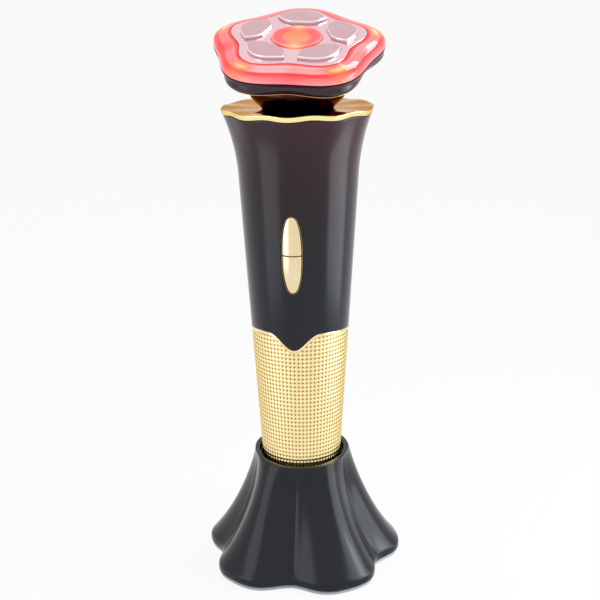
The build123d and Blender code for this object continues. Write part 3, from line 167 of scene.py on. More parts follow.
# ---------------- head
HEAD_TILT = radians(19.1)  # face leaning to the front
HEAD_LEAN = radians(2.4)  # face leaning to +X
NECK_CROSSING = 12.05
HEAD_DEPTH = 12.8
NECK_RADIUS = 12.5
NECK_FUNNEL_GROWTH = 4.5  # radius gained over the funnel
NECK_FUNNEL_HEIGHT = 4.2
NECK_TAPER = 0.04
NECK_SOFTNESS = 6  # how sharply the funnel turns upright
NECK_BORE = 9.0
NECK_ROWS = 30
NECK_START = 1e-6  # avoids a division by 0
BOWL_RADII = (19.2, 22.4, 26.1, 28.4, 29.3)
BOWL_SWELLS = (1.1, 2.0, 2.6, 2.3, 1.9)
BOWL_DEPTHS = (12.8, 11.6, 10.0, 7.6, 4.9)
BOWL_WALL = 1.8
BOWL_EDGE = ((0.02, 0.12), (0.12, 0.0), (BOWL_WALL, 0.0))  # inwards and down, round its rim
BOWL_EDGE_START = 0.3  # below the rim
BOWL_ROWS = 20
BOWL_FOOT_ROWS = 14
LED_SEAT = 24.6
LINE_DEPTH = 10.0  # gold line round the bowl, a painted highlight along the bowl's lower edge
LINE_WIDTH = 0.34
LINE_COLUMNS = 12
GASKET_REACH = (2.0, 0.4)  # inwards from the bowl's rim
RING_LOW = 4.5  # ring's lower edge and ridge, below the plate's top
RING_RIDGE = 1.5
RIDGE_FOOT = 1.9  # where the ring's side turns up into the ridge
RING_RADIUS = 29.3
RING_RIDGE_RADIUS = 27.8
RING_SWELL = 1.76
RING_BORE = 18.0
RING_DRAFT = 0.1  # how far the side leans in
RING_SHOULDER = 0.9  # where the side turns over, below the ridge
RING_BEND = (3.2, 0.52)  # distance from the plate, share of the ridge's depth
RING_LIP = (0.35, 0.08)  # distance from the plate, and depth
PLATE_GAP = 0.1
PLATE_RADIUS = 22.5
PLATE_SWELL = 2.15
PLATE_THICKNESS = 1.2
LENS_RADIUS = 9.0
LENS_PROUD = 0.5
LENS_DISH_RADIUS = 5.6
LENS_DISH_DEPTH = 0.35
LENS_EDGE = ((0.0, 0.35), (0.1, 0.12), (0.35, 0.0))  # inwards and down
LENS_DISH_BEVEL = (0.5, 0.08)
LENS_DISH_SHARES = (0.9, 0.05)
LENS_ROWS = 14
LENS_COLUMNS = 128
PAD_RADIUS = 19.3
PAD_SWELL = 1.7
PAD_INNER = 11.2  # straight inner edge, from the centre
PAD_CLIP = 1.4  # clipped inner corners
PAD_CORNER_ROUND = 0.4
PAD_HEIGHT = 1.2
PAD_EDGE = ((0.0, 0.3), (0.06, 0.12), (0.2, 0.02), (0.35, 0.0))  # inwards and down
PAD_COLUMNS = 41  # along its lobed edge
MITRE_LIMIT = 0.5  # holds back the sharpest corners
PAD_SPACING = 4.8
PAD_NAMES = ("back", "left", "front_left", "front_right", "right")

# ---------------- finishes
NOISE_RANGE = (0.3, 0.7)  # where nearly all of a noise's values lie
GRAIN = 900.0  # noise scale of a moulded surface's fine grain
METAL_GRAIN = 0.000004  # depths of the grain, in metres
POLISHED_GRAIN = 0.0000005
CAST_GRAIN = 0.00003
MOULDED_GRAIN = 0.00001
FOAM_GRAIN = 0.0002
METAL_PATCH = 6  # grains across a patch of tint
MOULDED_PATCH = 3
SOFT_LIMIT = 0.1  # how softly a two-faced metal changes its tint
ORANGE_PEEL = 160.0  # noise scale of a lacquered surface's slow waves
PEEL_DEPTH = 0.000006
COLOUR_DRIFT = 0.03
LACQUER_ROUGHNESS = (0.17, 0.22)
LACQUER_IOR = 1.4
ACRYLIC_ROUGHNESS = (0.06, 0.09)
ACRYLIC_IOR = 1.45
FILM_IOR = 1.5
CELL_BOTTOM = BOTTOM + 11.4
CELL_LENGTH = 65.0
RING_CLOUD = 60.0  # noise scale of the uneven light inside acrylic
RED_CLOUDS = 0.55  # how much of the ring's pink the deeper red takes away
HOT_PLACE = 0.62  # hot spots, from the plate's edge to the ridge
HOT_REACH = 0.6
RING_GLOW = 0.35
LENS_DRIFT = 0.04
# The ring's deeper red, for its clouds and for its painted shade.
DEEP_RED = (0.88, 0.006, 0.01, 1.0)
WARM_RED = (1.0, 0.22, 0.06, 1.0)
LAMP_YELLOW = (1.0, 0.62, 0.3, 1.0)
# The lens's painted highlight, which glows with it.
PAINTED_HIGHLIGHT_YELLOW = (1.0, 0.6, 0.22, 1.0)
ROSE_EDGE = (1.0, 0.9, 0.92)
WHITE = (1.0, 1.0, 1.0)

# Colours are (place, red, green, blue): up the ring's side, from the plate to the ridge, from the
# lens's centre to its edge, from a bead's top to the pit beside it, and up the battery's film.
RING_SIDE_COLOURS = (
    (0.0, 0.92, 0.14, 0.15), (0.12, 1.0, 0.3, 0.31), (0.7, 0.98, 0.2, 0.21), (0.93, 0.96, 0.07, 0.08))
RING_SLOPE_COLOURS = (
    (0.0, 0.95, 0.01, 0.02), (0.2, 1.0, 0.08, 0.09), (0.34, 1.0, 0.5, 0.5), (0.46, 1.0, 0.34, 0.34),
    (0.84, 1.0, 0.42, 0.42), (0.92, 1.0, 0.09, 0.1), (1.0, 0.96, 0.05, 0.06))
LENS_COLOURS = (
    (0.0, 1.0, 0.24, 0.07), (0.5, 1.0, 0.2, 0.07), (0.6, 0.95, 0.09, 0.07), (0.68, 0.95, 0.07, 0.075),
    (0.88, 0.95, 0.09, 0.09), (0.95, 1.0, 0.3, 0.24), (1.0, 0.85, 0.08, 0.08))
# Darker and browner from a bead's top down into the pit: painted shade.
BEAD_COLOURS = (
    (0.0, 1.0, 0.88, 0.56), (0.38, 1.0, 0.8, 0.38), (0.62, 0.62, 0.42, 0.13), (1.0, 0.06, 0.03, 0.01))
FILM_COLOURS = (
    (0.0, 0.5, 0.52, 0.55), (0.03, 0.04, 0.16, 0.38), (0.96, 0.05, 0.2, 0.45), (0.97, 0.5, 0.52, 0.55))

# ---------------- floor and lamps, in metres and watts
FLOOR_REACH = 8.0
FLOOR_WHITENESS = 0.9  # share of plain white in the floor as it is seen
SKY_LIGHT = 0.65  # soft light on the object
LAMP_COLOUR = (0.9, 0.95, 1.0)
# name, degrees from straight ahead towards +X, distance, height, size, power, height of its aim
SOFTBOXES = (
    ("softbox_left", -48, 0.26, 0.135, (0.16, 0.26), 0.17, 0.135),
    ("softbox_right", 88, 0.26, 0.155, (0.2, 0.3), 0.5, 0.155),
    ("strip_right", 90, 0.26, 0.2, (0.07, 0.22), 0.24, 0.2),
    ("softbox_above", 138, 0.28, 0.6, (0.15, 0.15), 0.6, 0.19),
)

# ---------------- camera
CAMERA_TURN = radians(7.624)  # from straight ahead towards +X
CAMERA_REACH = 438.52  # from the handle's axis
CAMERA_HEIGHT = 232.53
CAMERA_PITCH = radians(16.539)
CAMERA_ROLL = radians(-1.11)
CAMERA_YAW = radians(1.626)
CAMERA_LENS = 74.32
CAMERA_SHIFT = 0.0563


# ---------------- outlines and skins
def turns(columns):
    return np.linspace(0, 2 * pi, columns, endpoint=False)


def lobed(radius, swell, crease=0.0, columns=LOBED_COLUMNS):
    """Distances from the axis to a lobed outline, the same as the solids' outline."""
    wave = LOBES * (turns(columns) - BACK)
    return radius + swell * np.cos(wave) - crease * np.cos(2 * wave)


def ring(reach, height, columns=LOBED_COLUMNS):
    """A closed row of points. Its reach and height may change from point to point."""
    turn = turns(columns)
    reach = np.broadcast_to(reach, turn.shape)
    height = np.broadcast_to(height, turn.shape)
    return np.stack([reach * np.cos(turn), reach * np.sin(turn), height], axis=1)


def soft_profile(corners, steps=ROUND_STEPS):
    """A closed profile with its corners rounded. Each corner ends with its rounding, in millimetres."""
    corners = np.array(corners, float)
    places = corners[:, :-1]
    rows = []
    for i, place in enumerate(places):
        rounding = corners[i, -1]
        if rounding == 0:
            rows.append(place)
            continue
        before = places[i - 1] - place
        after = places[(i + 1) % len(places)] - place
        start = place + before * rounding / np.linalg.norm(before[:2])
        end = place + after * rounding / np.linalg.norm(after[:2])
        for share in np.linspace(0, 1, steps):
            rows.append((1 - share) ** 2 * start + 2 * share * (1 - share) * place + share ** 2 * end)
    return rows


def lobed_rows(profile):
    """Rows of points for a profile of (radius, height, swell)."""
    return [ring(lobed(radius, swell), height) for radius, height, swell in profile]


def skin(name, rows, closed=True):
    """A mesh of quads between closed rows. A stack that isn't closed gets a cap at both ends."""
    rows = np.asarray(rows)
    count, columns, _ = rows.shape
    points = (rows.reshape(-1, 3) * MM).tolist()
    faces = []
    for i in range(count if closed else count - 1):
        here = i * columns
        there = (i + 1) % count * columns
        for j in range(columns):
            k = (j + 1) % columns
            faces.append((here + j, here + k, there + k, there + j))
    if not closed:
        for i in (0, count - 1):
            points.append((rows[i].mean(axis=0) * MM).tolist())
            start = i * columns
            faces += [(start + j, start + (j + 1) % columns, len(points) - 1) for j in range(columns)]
    return solid_mesh(name, points, faces)


def solid_mesh(name, points, faces):
    """A mesh whose faces all look outwards and are shaded smooth."""
    mesh = bpy.data.meshes.new(name)
    mesh.from_pydata(points, [], faces)
    built = bmesh.new()
    built.from_mesh(mesh)
    bmesh.ops.recalc_face_normals(built, faces=built.faces)
    for face in built.faces:
        face.smooth = True
    built.to_mesh(mesh)
    built.free()
    return mesh


def new_object(name, data):
    made = bpy.data.objects.new(name, data)
    bpy.context.scene.collection.objects.link(made)
    return made


def cut(mesh, cutter_mesh):
    """The first mesh with the room of the second one taken out."""
    body = new_object("body", mesh)
    cutter = new_object("cutter", cutter_mesh)
    boolean = body.modifiers.new("cut", "BOOLEAN")
    boolean.operation = "DIFFERENCE"
    boolean.solver = "EXACT"
    boolean.object = cutter
    bpy.context.view_layer.update()
    depsgraph = bpy.context.evaluated_depsgraph_get()
    result = bpy.data.meshes.new_from_object(body.evaluated_get(depsgraph))
    name = mesh.name
    for made in (body, cutter):
        bpy.data.objects.remove(made)
    for used in (mesh, cutter_mesh):
        bpy.data.meshes.remove(used)
    result.name = name
    return result


def piece(mesh, look, place=Matrix.Identity(4), body="handheld"):
    """Puts a mesh in the scene as a piece that rides on a body.

    Its finish is the one named by its look. A mesh called NODE_skin replaces that CAD node.
    """
    replaced = [node for node in nodes if node + "_skin" == mesh.name]
    remember_places(mesh)
    mesh.transform(place)
    made = new_object(mesh.name, mesh)
    mesh.materials.clear()
    mesh.materials.append(finishes[look])
    normals = made.modifiers.new("even_shading", "WEIGHTED_NORMAL")
    normals.keep_sharp = True
    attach(made, body)
    if replaced:
        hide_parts(*replaced)


def remember_places(mesh):
    """Keeps each point's place in the frame that the mesh was made in, for the materials."""
    places = np.zeros(3 * len(mesh.vertices), np.float32)
    mesh.vertices.foreach_get("co", places)
    mesh.attributes.new("made_place", "FLOAT_VECTOR", "POINT").data.foreach_set("vector", places)


def frame_at(origin, across, outwards):
    """A matrix whose x axis is across and whose z axis points outwards, at a place in millimetres."""
    x = Vector(across).normalized()
    z = Vector(outwards).normalized()
    y = z.cross(x)
    turned = Matrix((x, y, z)).transposed().to_4x4()
    return Matrix.Translation(Vector(origin) * MM) @ turned


HEAD_UP = Vector((0, -sin(HEAD_TILT), cos(HEAD_TILT)))
HEAD_NORMAL = HEAD_UP * cos(HEAD_LEAN) + Vector((sin(HEAD_LEAN), 0, 0))
HEAD_SIDE = HEAD_UP * -sin(HEAD_LEAN) + Vector((cos(HEAD_LEAN), 0, 0))
HEAD_PIVOT = Vector((0, 0, RIM_TOP + NECK_CROSSING))
FACE = frame_at(HEAD_PIVOT + HEAD_NORMAL * HEAD_DEPTH, HEAD_SIDE, HEAD_NORMAL)


def grip_radius(z):
    return GRIP_RADIUS + TAPER * (z - BOTTOM)


def into_flare(z):
    """0 below the flare and 1 at the rim's top."""
    return np.maximum(0.0, z - FLARE_START) / FLARE_HEIGHT


def handle_radius(z):
    return grip_radius(z) + FLARE_GROWTH * into_flare(z) ** 2


BUTTON_OUT = Vector((0, -1, -TAPER)).normalized()
BUTTON_FACE = frame_at((0, -grip_radius(BUTTON_Z), BUTTON_Z), (1, 0, 0), BUTTON_OUT)


# ---------------- materials
def link(tree, socket, value):
    """Sets a socket to a number or colour, or joins another node's output to it."""
    if isinstance(value, bpy.types.NodeSocket):
        tree.links.new(value, socket)
    else:
        socket.default_value = value


def add(tree, kind, inputs=(), **settings):
    made = tree.nodes.new("ShaderNode" + kind)
    for setting, value in settings.items():
        setattr(made, setting, value)
    for name, value in dict(inputs).items():
        link(tree, made.inputs[name], value)
    return made


def new_material(name, **sockets):
    """A Principled material and its shader node. Socket names are given with _ for a space."""
    material = bpy.data.materials.new(name)
    material.use_nodes = True
    shader = material.node_tree.nodes["Principled BSDF"]
    for socket, value in sockets.items():
        shader.inputs[socket.replace("_", " ")].default_value = value
    return material, material.node_tree, shader


def place_in_object(tree):
    return add(tree, "TexCoord").outputs["Object"]


def made_place(tree):
    """The place in the frame that a piece was made in, such as the head's slanting face."""
    return add(tree, "Attribute", attribute_name="made_place").outputs["Vector"]


def axes(tree, place):
    """The x, y and z of a place."""
    return add(tree, "SeparateXYZ", {"Vector": place}).outputs


def height_above_floor(tree):
    return axes(tree, place_in_object(tree))["Z"]


def noise(tree, scale, detail=4.0):
    made = add(tree, "TexNoise", {"Vector": place_in_object(tree), "Scale": scale, "Detail": detail})
    return made.outputs["Fac"]


def between(tree, share, low, high, share_low=0.0, share_high=1.0):
    """A number that goes from low to high as share goes from share_low to share_high."""
    made = add(tree, "MapRange", {
        "Value": share, "From Min": share_low, "From Max": share_high, "To Min": low, "To Max": high})
    return made.outputs["Result"]


def wander(tree, scale, low, high):
    """A number that drifts between low and high over the surface."""
    return between(tree, noise(tree, scale), low, high, *NOISE_RANGE)


def ramp(tree, share, stops):
    """A colour ramp. Each stop is (place, red, green, blue)."""
    made = add(tree, "ValToRGB", {"Fac": share})
    elements = made.color_ramp.elements
    while len(elements) < len(stops):
        elements.new(0.5)
    for element, (place, *colour) in zip(elements, stops):
        element.position = place
        element.color = (*colour, 1.0)
    return made.outputs["Color"]


def mix(tree, share, low, high):
    """A colour that goes from low to high. Both are colours or other nodes' outputs."""
    made = add(tree, "MixRGB", {"Fac": share, "Color1": low, "Color2": high})
    return made.outputs["Color"]


def two_tone(tree, scale, dark, light):
    return ramp(tree, wander(tree, scale, 0, 1), [(0.0, *dark), (1.0, *light)])


def calc(tree, operation, *values):
    made = add(tree, "Math", dict(enumerate(values)), operation=operation)
    return made.outputs["Value"]


def vector(tree, operation, *values, output="Vector"):
    made = add(tree, "VectorMath", dict(enumerate(values)), operation=operation)
    return made.outputs[output]


def level(tree, place):
    """A place with its height left out."""
    return vector(tree, "MULTIPLY", place, (1.0, 1.0, 0.0))


def distance_from_axis(tree, place):
    return vector(tree, "LENGTH", level(tree, place), output="Value")


def away_from_axis(tree):
    """The level direction away from the handle's axis."""
    return vector(tree, "NORMALIZE", level(tree, place_in_object(tree)))


def facing(tree, direction):
    """1 where the surface looks in a direction, and less as it turns away."""
    normal = add(tree, "TexCoord").outputs["Normal"]
    return vector(tree, "DOT_PRODUCT", normal, direction, output="Value")


def bump(tree, shader, height, distance):
    relief = add(tree, "Bump", {"Height": height, "Distance": distance})
    link(tree, shader.inputs["Normal"], relief.outputs["Normal"])


def coat(tree, shader, colour, scale, roughness, grain=0.0):
    """Gives a shader its colour, an uneven roughness and a grain as deep as given, in metres."""
    link(tree, shader.inputs["Base Color"], colour)
    link(tree, shader.inputs["Roughness"], wander(tree, scale, *roughness))
    if grain:
        bump(tree, shader, noise(tree, scale), grain)


def light_up(tree, shader, colour):
    """Acrylic's gloss and colour, with light of its own, as from lamps behind a translucent shell."""
    coat(tree, shader, colour, RING_CLOUD, ACRYLIC_ROUGHNESS)
    link(tree, shader.inputs["Emission Color"], colour)


def gloss(name, stops, low, high):
    """Glossy lacquered plastic whose colour fades from low to high, in metres."""
    material, tree, shader = new_material(name, IOR=LACQUER_IOR)
    fade = between(tree, height_above_floor(tree), 0, 1, low, high)
    share = calc(tree, "ADD", fade, wander(tree, ORANGE_PEEL, -COLOUR_DRIFT, COLOUR_DRIFT))
    coat(tree, shader, ramp(tree, share, stops), GRAIN, LACQUER_ROUGHNESS)
    bump(tree, shader, noise(tree, ORANGE_PEEL, 2.0), PEEL_DEPTH)
    return material


def translucent_ring(name):
    """Red acrylic lit from inside: paler on the slope, with a warm hot spot in each lobe, and painted shade
    behind and at the left.
    """
    material, tree, shader = new_material(name, IOR=ACRYLIC_IOR, Emission_Strength=RING_GLOW)
    place = made_place(tree)
    x, y, z = axes(tree, place)
    turn = calc(tree, "ARCTAN2", y, x)
    wave = calc(tree, "SINE", calc(tree, "MULTIPLY", turn, float(LOBES)))
    inner = calc(tree, "MULTIPLY_ADD", wave, PLATE_SWELL * MM, PLATE_RADIUS * MM)
    outer = calc(tree, "MULTIPLY_ADD", wave, RING_SWELL * MM, RING_RIDGE_RADIUS * MM)
    share = between(tree, distance_from_axis(tree, place), 0, 1, inner, outer)
    side = ramp(tree, between(tree, z, 0, 1, -RING_LOW * MM, -RING_RIDGE * MM), RING_SIDE_COLOURS)
    on_side = between(tree, z, 1, 0, -RIDGE_FOOT * MM, -RING_RIDGE * MM)
    red = mix(tree, on_side, ramp(tree, share, RING_SLOPE_COLOURS), side)
    red = mix(tree, clouds_and_painted_shade(tree, x, y, wave), red, DEEP_RED)
    off_spot = calc(tree, "ABSOLUTE", calc(tree, "SUBTRACT", share, HOT_PLACE))
    across = between(tree, off_spot, 1, 0, 0.0, HOT_REACH)
    hot = calc(tree, "MULTIPLY", between(tree, wave, 0, 1, 0.5, 1.0), across)
    warm = mix(tree, between(tree, hot, 0, 0.85, 0.1, 0.6), red, WARM_RED)
    light_up(tree, shader, mix(tree, between(tree, hot, 0, 0.9, 0.55, 1.0), warm, LAMP_YELLOW))
    return material


def clouds_and_painted_shade(tree, x, y, wave):
    """How deep the ring's red is: cloudy in front from uneven inner light, and full behind and in the
    valley at the left, a painted shade.
    """
    clouds = between(tree, noise(tree, RING_CLOUD, 1.0), 0, RED_CLOUDS, 0.42, 0.62)
    # Painted shade: deeper red behind and in the valley at the left.
    at_left = between(tree, x, 1, 0, -0.9 * RING_RADIUS * MM, -0.3 * RING_RADIUS * MM)
    in_valley = between(tree, wave, 1, 0, -1.0, 0.0)
    behind = between(tree, y, 0, 1, -RING_RADIUS * MM / 3, RING_RADIUS * MM / 2)
    deep = calc(tree, "MAXIMUM", clouds, calc(tree, "MULTIPLY", at_left, in_valley))
    return calc(tree, "MAXIMUM", deep, behind)


def translucent_lens(name):
    """The window: a pinkish red rim round an orange dish, glowing, with a painted highlight in yellow at
    front and back.
    """
    material, tree, shader = new_material(name, IOR=ACRYLIC_IOR, Emission_Strength=RING_GLOW)
    radius = LENS_RADIUS * MM
    place = made_place(tree)
    x, y, _ = axes(tree, place)
    share = between(tree, distance_from_axis(tree, place), 0, 1, 0.0, radius)
    share = calc(tree, "ADD", share, wander(tree, RING_CLOUD, -LENS_DRIFT, LENS_DRIFT))
    # Painted highlight: yellow at the front and back of the rim, glowing with the lens.
    in_middle = between(tree, calc(tree, "ABSOLUTE", x), 1, 0, 0.0, 0.55 * radius)
    at_edge = between(tree, calc(tree, "ABSOLUTE", y), 0, 1, 0.45 * radius, radius)
    warm = calc(tree, "MULTIPLY", in_middle, at_edge)
    light_up(tree, shader, mix(tree, warm, ramp(tree, share, LENS_COLOURS), PAINTED_HIGHLIGHT_YELLOW))
    return material


def studded_gold(name):
    """Polished gold beads that sink into darker, browner valleys between them: painted shade."""
    material, tree, shader = new_material(name, Metallic=1.0, Specular_Tint=(1.0, 0.85, 0.6, 1.0))
    radius_at_floor = (GRIP_RADIUS - TAPER * BOTTOM) * MM
    skin_radius = calc(tree, "MULTIPLY_ADD", height_above_floor(tree), TAPER, radius_at_floor)
    depth = calc(tree, "SUBTRACT", skin_radius, distance_from_axis(tree, place_in_object(tree)))
    colour = ramp(tree, between(tree, depth, 0, 1, 0.0, STUD_HEIGHT * MM), BEAD_COLOURS)
    coat(tree, shader, colour, GRAIN, (0.16, 0.26), METAL_GRAIN)
    return material


def two_faced_metal(name, roughness, edge_tint, others, towards, limit, direction=None):
    """Metal with one tint on the faces that look in a direction and another on all the rest.

    No direction stands for away from the handle's axis.
    """
    material, tree, shader = new_material(name, Metallic=1.0, Specular_Tint=(*edge_tint, 1.0))
    looking = facing(tree, direction or away_from_axis(tree))
    share = between(tree, looking, 0, 1, limit - SOFT_LIMIT, limit)
    tint = mix(tree, share, (*others, 1.0), (*towards, 1.0))
    worn = wander(tree, GRAIN / METAL_PATCH, 0.94, 1.0)
    tint = add(tree, "VectorMath", {0: tint, "Scale": worn}, operation="SCALE").outputs["Vector"]
    coat(tree, shader, tint, GRAIN / METAL_PATCH, roughness)
    return material


def wrapped_cell(name):
    """A battery's printed film: plain blue with a grey band at each end."""
    material, tree, shader = new_material(name, IOR=FILM_IOR)
    top = CELL_BOTTOM + CELL_LENGTH
    share = between(tree, height_above_floor(tree), 0, 1, CELL_BOTTOM * MM, top * MM)
    coat(tree, shader, ramp(tree, share, FILM_COLOURS), GRAIN, (0.25, 0.35))
    return material


def metal(name, dark, light, roughness, edge_tint=WHITE, scale=GRAIN, grain=METAL_GRAIN):
    """Metal whose tint wanders between two colours, with a fine grain."""
    material, tree, shader = new_material(name, Metallic=1.0, Specular_Tint=(*edge_tint, 1.0))
    coat(tree, shader, two_tone(tree, scale / METAL_PATCH, dark, light), scale, roughness, grain)
    return material


def plastic(name, dark, light, roughness, grain=MOULDED_GRAIN):
    """Moulded plastic or rubber with a fine grain."""
    material, tree, shader = new_material(name)
    coat(tree, shader, two_tone(tree, GRAIN / MOULDED_PATCH, dark, light), GRAIN, roughness, grain)
    return material


# Every finish by its name: what makes it, and its settings. The last ones are for solids that show
# only from other sides, or not at all.
looks = {
    "bell_gloss": (gloss, [(0.0, 0.001, 0.0028, 0.006), (1.0, 0.0018, 0.004, 0.008)], 0.0, 0.043),
    "casing_gloss": (gloss, [
        (0.0, 0.004, 0.007, 0.013), (0.45, 0.006, 0.007, 0.011),
        (0.72, 0.018, 0.006, 0.01), (1.0, 0.036, 0.01, 0.018)], 0.088, 0.172),
    "bowl_gloss": (gloss, [(0.0, 0.03, 0.012, 0.02), (1.0, 0.05, 0.024, 0.036)], 0.18, 0.195),
    "foot_silicone": (plastic, (0.42, 0.47, 0.53), (0.5, 0.55, 0.6), (0.35, 0.5)),
    "sleeve_gold": (studded_gold,),
    "border_gold": (metal, (0.92, 0.72, 0.36), (1.0, 0.84, 0.5), (0.08, 0.16)),
    "button_gold": (metal, (0.84, 0.69, 0.42), (0.9, 0.76, 0.49), (0.14, 0.22)),
    "bezel_gold": (metal, (0.16, 0.11, 0.045), (0.24, 0.17, 0.07), (0.12, 0.2)),
    # The gold line is a painted highlight along the bowl's lower edge.
    "line_gold": (metal, (0.6, 0.36, 0.14), (0.72, 0.46, 0.2), (0.06, 0.12)),
    "rim_gold": (
        two_faced_metal, (0.05, 0.09), (0.9, 0.62, 0.38), (0.5, 0.28, 0.12), (1.0, 0.88, 0.42), 0.5),
    "rim_bronze": (metal, (0.48, 0.27, 0.115), (0.54, 0.31, 0.14), (0.05, 0.09), (0.85, 0.6, 0.38)),
    "neck_bronze": (metal, (0.04, 0.018, 0.01), (0.06, 0.028, 0.015), (0.06, 0.12), (0.85, 0.6, 0.42)),
    "plate_rose": (
        metal, (0.82, 0.56, 0.6), (0.86, 0.6, 0.64), (0.05, 0.09), ROSE_EDGE,
        GRAIN / METAL_PATCH, POLISHED_GRAIN),
    # The pads' sides are painted near white, a painted highlight; their tops are rose.
    "electrode_rose": (
        two_faced_metal, (0.14, 0.22), ROSE_EDGE, (1.0, 0.92, 0.94), (0.68, 0.455, 0.485), 0.95,
        tuple(HEAD_NORMAL)),
    "ring_glow": (translucent_ring,),
    "lens_glow": (translucent_lens,),
    "seal_silicone": (plastic, (0.02, 0.015, 0.018), (0.035, 0.028, 0.03), (0.4, 0.55)),
    "inner_plastic": (plastic, (0.012, 0.012, 0.013), (0.02, 0.02, 0.022), (0.4, 0.55)),
    "screw_steel": (metal, (0.45, 0.45, 0.47), (0.62, 0.62, 0.64), (0.2, 0.35)),
    "cup_plastic": (plastic, (0.006, 0.006, 0.007), (0.012, 0.012, 0.013), (0.3, 0.45)),
    "ballast_iron": (
        metal, (0.18, 0.18, 0.19), (0.28, 0.28, 0.3), (0.45, 0.65), WHITE, GRAIN, CAST_GRAIN),
    "board_green": (plastic, (0.01, 0.1, 0.035), (0.018, 0.15, 0.055), (0.25, 0.4)),
    "inlet_steel": (metal, (0.55, 0.55, 0.57), (0.7, 0.7, 0.72), (0.15, 0.28)),
    "contact_gold": (metal, (0.8, 0.52, 0.16), (0.95, 0.68, 0.28), (0.12, 0.22)),
    "switch_plastic": (plastic, (0.01, 0.01, 0.01), (0.02, 0.02, 0.02), (0.35, 0.5)),
    "ferrite": (plastic, (0.015, 0.015, 0.017), (0.03, 0.03, 0.034), (0.5, 0.65)),
    "battery_wrap": (wrapped_cell,),
    "foam": (plastic, (0.02, 0.02, 0.022), (0.05, 0.05, 0.055), (0.8, 0.95), FOAM_GRAIN),
    "motor_steel": (metal, (0.42, 0.42, 0.44), (0.58, 0.58, 0.6), (0.18, 0.3)),
    "weight_brass": (metal, (0.55, 0.4, 0.14), (0.7, 0.54, 0.24), (0.2, 0.32)),
    "led_glow": (plastic, (0.85, 0.55, 0.1), (0.95, 0.68, 0.2), (0.2, 0.3)),
    "ribbon_film": (plastic, (0.35, 0.14, 0.02), (0.48, 0.22, 0.04), (0.2, 0.35)),
}
finishes = {name: make(name, *settings) for name, (make, *settings) in looks.items()}
for part in frame["record"]["subparts"]:
    if part["material_slot"] in finishes:
        slots = nodes[part["node"]].data.materials
        slots.clear()
        slots.append(finishes[part["material_slot"]])


# ---------------- stand
def flank(z):
    """Radius and swell of the bell's flank at height z."""
    share = (BASE_HEIGHT - z) / (BASE_HEIGHT - BAND_TOP)
    flare = (1 - FOOT_FLARE) * share ** FLANK_POWER + FOOT_FLARE * share ** FOOT_FLARE_POWER
    return COLLAR_RADIUS + (BASE_RADIUS - COLLAR_RADIUS) * flare, BASE_SWELL * share ** FADE_POWER


def bell_row(radius, z, swell):
    """A closed row of the bell, with a sharp fold line in each valley."""
    share = swell / BASE_SWELL
    reach = lobed(radius, swell, BASE_CREASE * share ** CREASE_FADE, columns=BELL_COLUMNS)
    off_valley = (turns(BELL_COLUMNS) - BACK) % (2 * pi / LOBES) - pi / LOBES
    fold = FOLD_DEPTH * min(share, 1 - share ** FOLD_FADE) * np.exp(-(off_valley / FOLD_WIDTH) ** 2)
    near_collar = max(0.0, (z - BAND_TOP) / (BASE_HEIGHT - BAND_TOP)) ** LEAN_FADE
    lean = near_collar * (COLLAR_RISE + COLLAR_LEAN * np.sin(turns(BELL_COLUMNS)))
    return ring(reach - fold, z + lean, BELL_COLUMNS)


def base_shell_mesh():
    """The bell: a band and its shoulder, the flank, the collar's lip and the inside wall."""
    flank_foot = BAND_TOP + BAND_ROUND
    foot_radius, foot_swell = flank(flank_foot)
    shoulder = soft_profile([
        (BASE_RADIUS - BASE_WALL, FOOT_THICKNESS, BASE_SWELL, 0),
        (BASE_RADIUS, FOOT_THICKNESS, BASE_SWELL, BAND_FOOT_ROUND),
        (BASE_RADIUS, BAND_TOP, BASE_SWELL, BAND_ROUND),
        (foot_radius, flank_foot, foot_swell, 0),
    ])
    profile = [tuple(row) for row in shoulder]
    lip_foot = BASE_HEIGHT - LIP_ROUND
    below_collar = (BASE_HEIGHT - flank_foot) * np.linspace(1, 0, FLANK_ROWS) ** FLANK_CROWDING
    for z in BASE_HEIGHT - below_collar[1:]:
        if z < lip_foot:
            profile.append((flank(z)[0], z, flank(z)[1]))
    edge_radius, edge_swell = flank(lip_foot)
    for share in np.linspace(0, 1, ROUND_STEPS):
        inwards = LIP_ROUND * (1 - cos(share * pi / 2))
        rise = LIP_ROUND * sin(share * pi / 2)
        profile.append((edge_radius - inwards, lip_foot + rise, edge_swell * (1 - share)))
    profile += [(COLLAR_BORE + out, BASE_HEIGHT - down, 0) for out, down in LIP_BEVEL]
    profile.append((COLLAR_BORE, BASE_HEIGHT - COLLAR_LIP, 0))
    for z in np.linspace(BASE_HEIGHT - COLLAR_LIP, flank_foot, INSIDE_ROWS):
        radius, swell = flank(z)
        profile.append((max(radius - BASE_WALL, CUP_OUTER), z, min(swell, max(0, radius - CUP_OUTER))))
    rows = [bell_row(radius, z, swell) for radius, z, swell in profile]
    return cut(skin("base_shell_skin", rows), inlet_slot_mesh())


def inlet_slot_mesh():
    """A rounded slot through the back lobe's wall."""
    reach = INLET_HEIGHT / 2
    half_width = INLET_WIDTH / 2 - reach
    loop = []
    for turn in turns(SLOT_COLUMNS) + pi / SLOT_COLUMNS:
        side = half_width if cos(turn) > 0 else -half_width
        loop.append((side + reach * cos(turn), INLET_Z + reach * sin(turn)))
    depths = (INLET_MOUTH - 2 * BASE_WALL, BASE_RADIUS + 2 * BASE_SWELL)
    rows = [[(x, y, z) for x, z in loop] for y in depths]
    return skin("slot", rows, closed=False)


def foot_pad_mesh():
    edge = BASE_RADIUS - FOOT_INSET
    profile = [(edge - inwards, z) for inwards, z in FOOT_EDGE] + [(edge, FOOT_THICKNESS)]
    rows = [ring(lobed(radius, BASE_SWELL, BASE_CREASE), z) for radius, z in profile]
    return skin("foot_pad_skin", rows, closed=False)


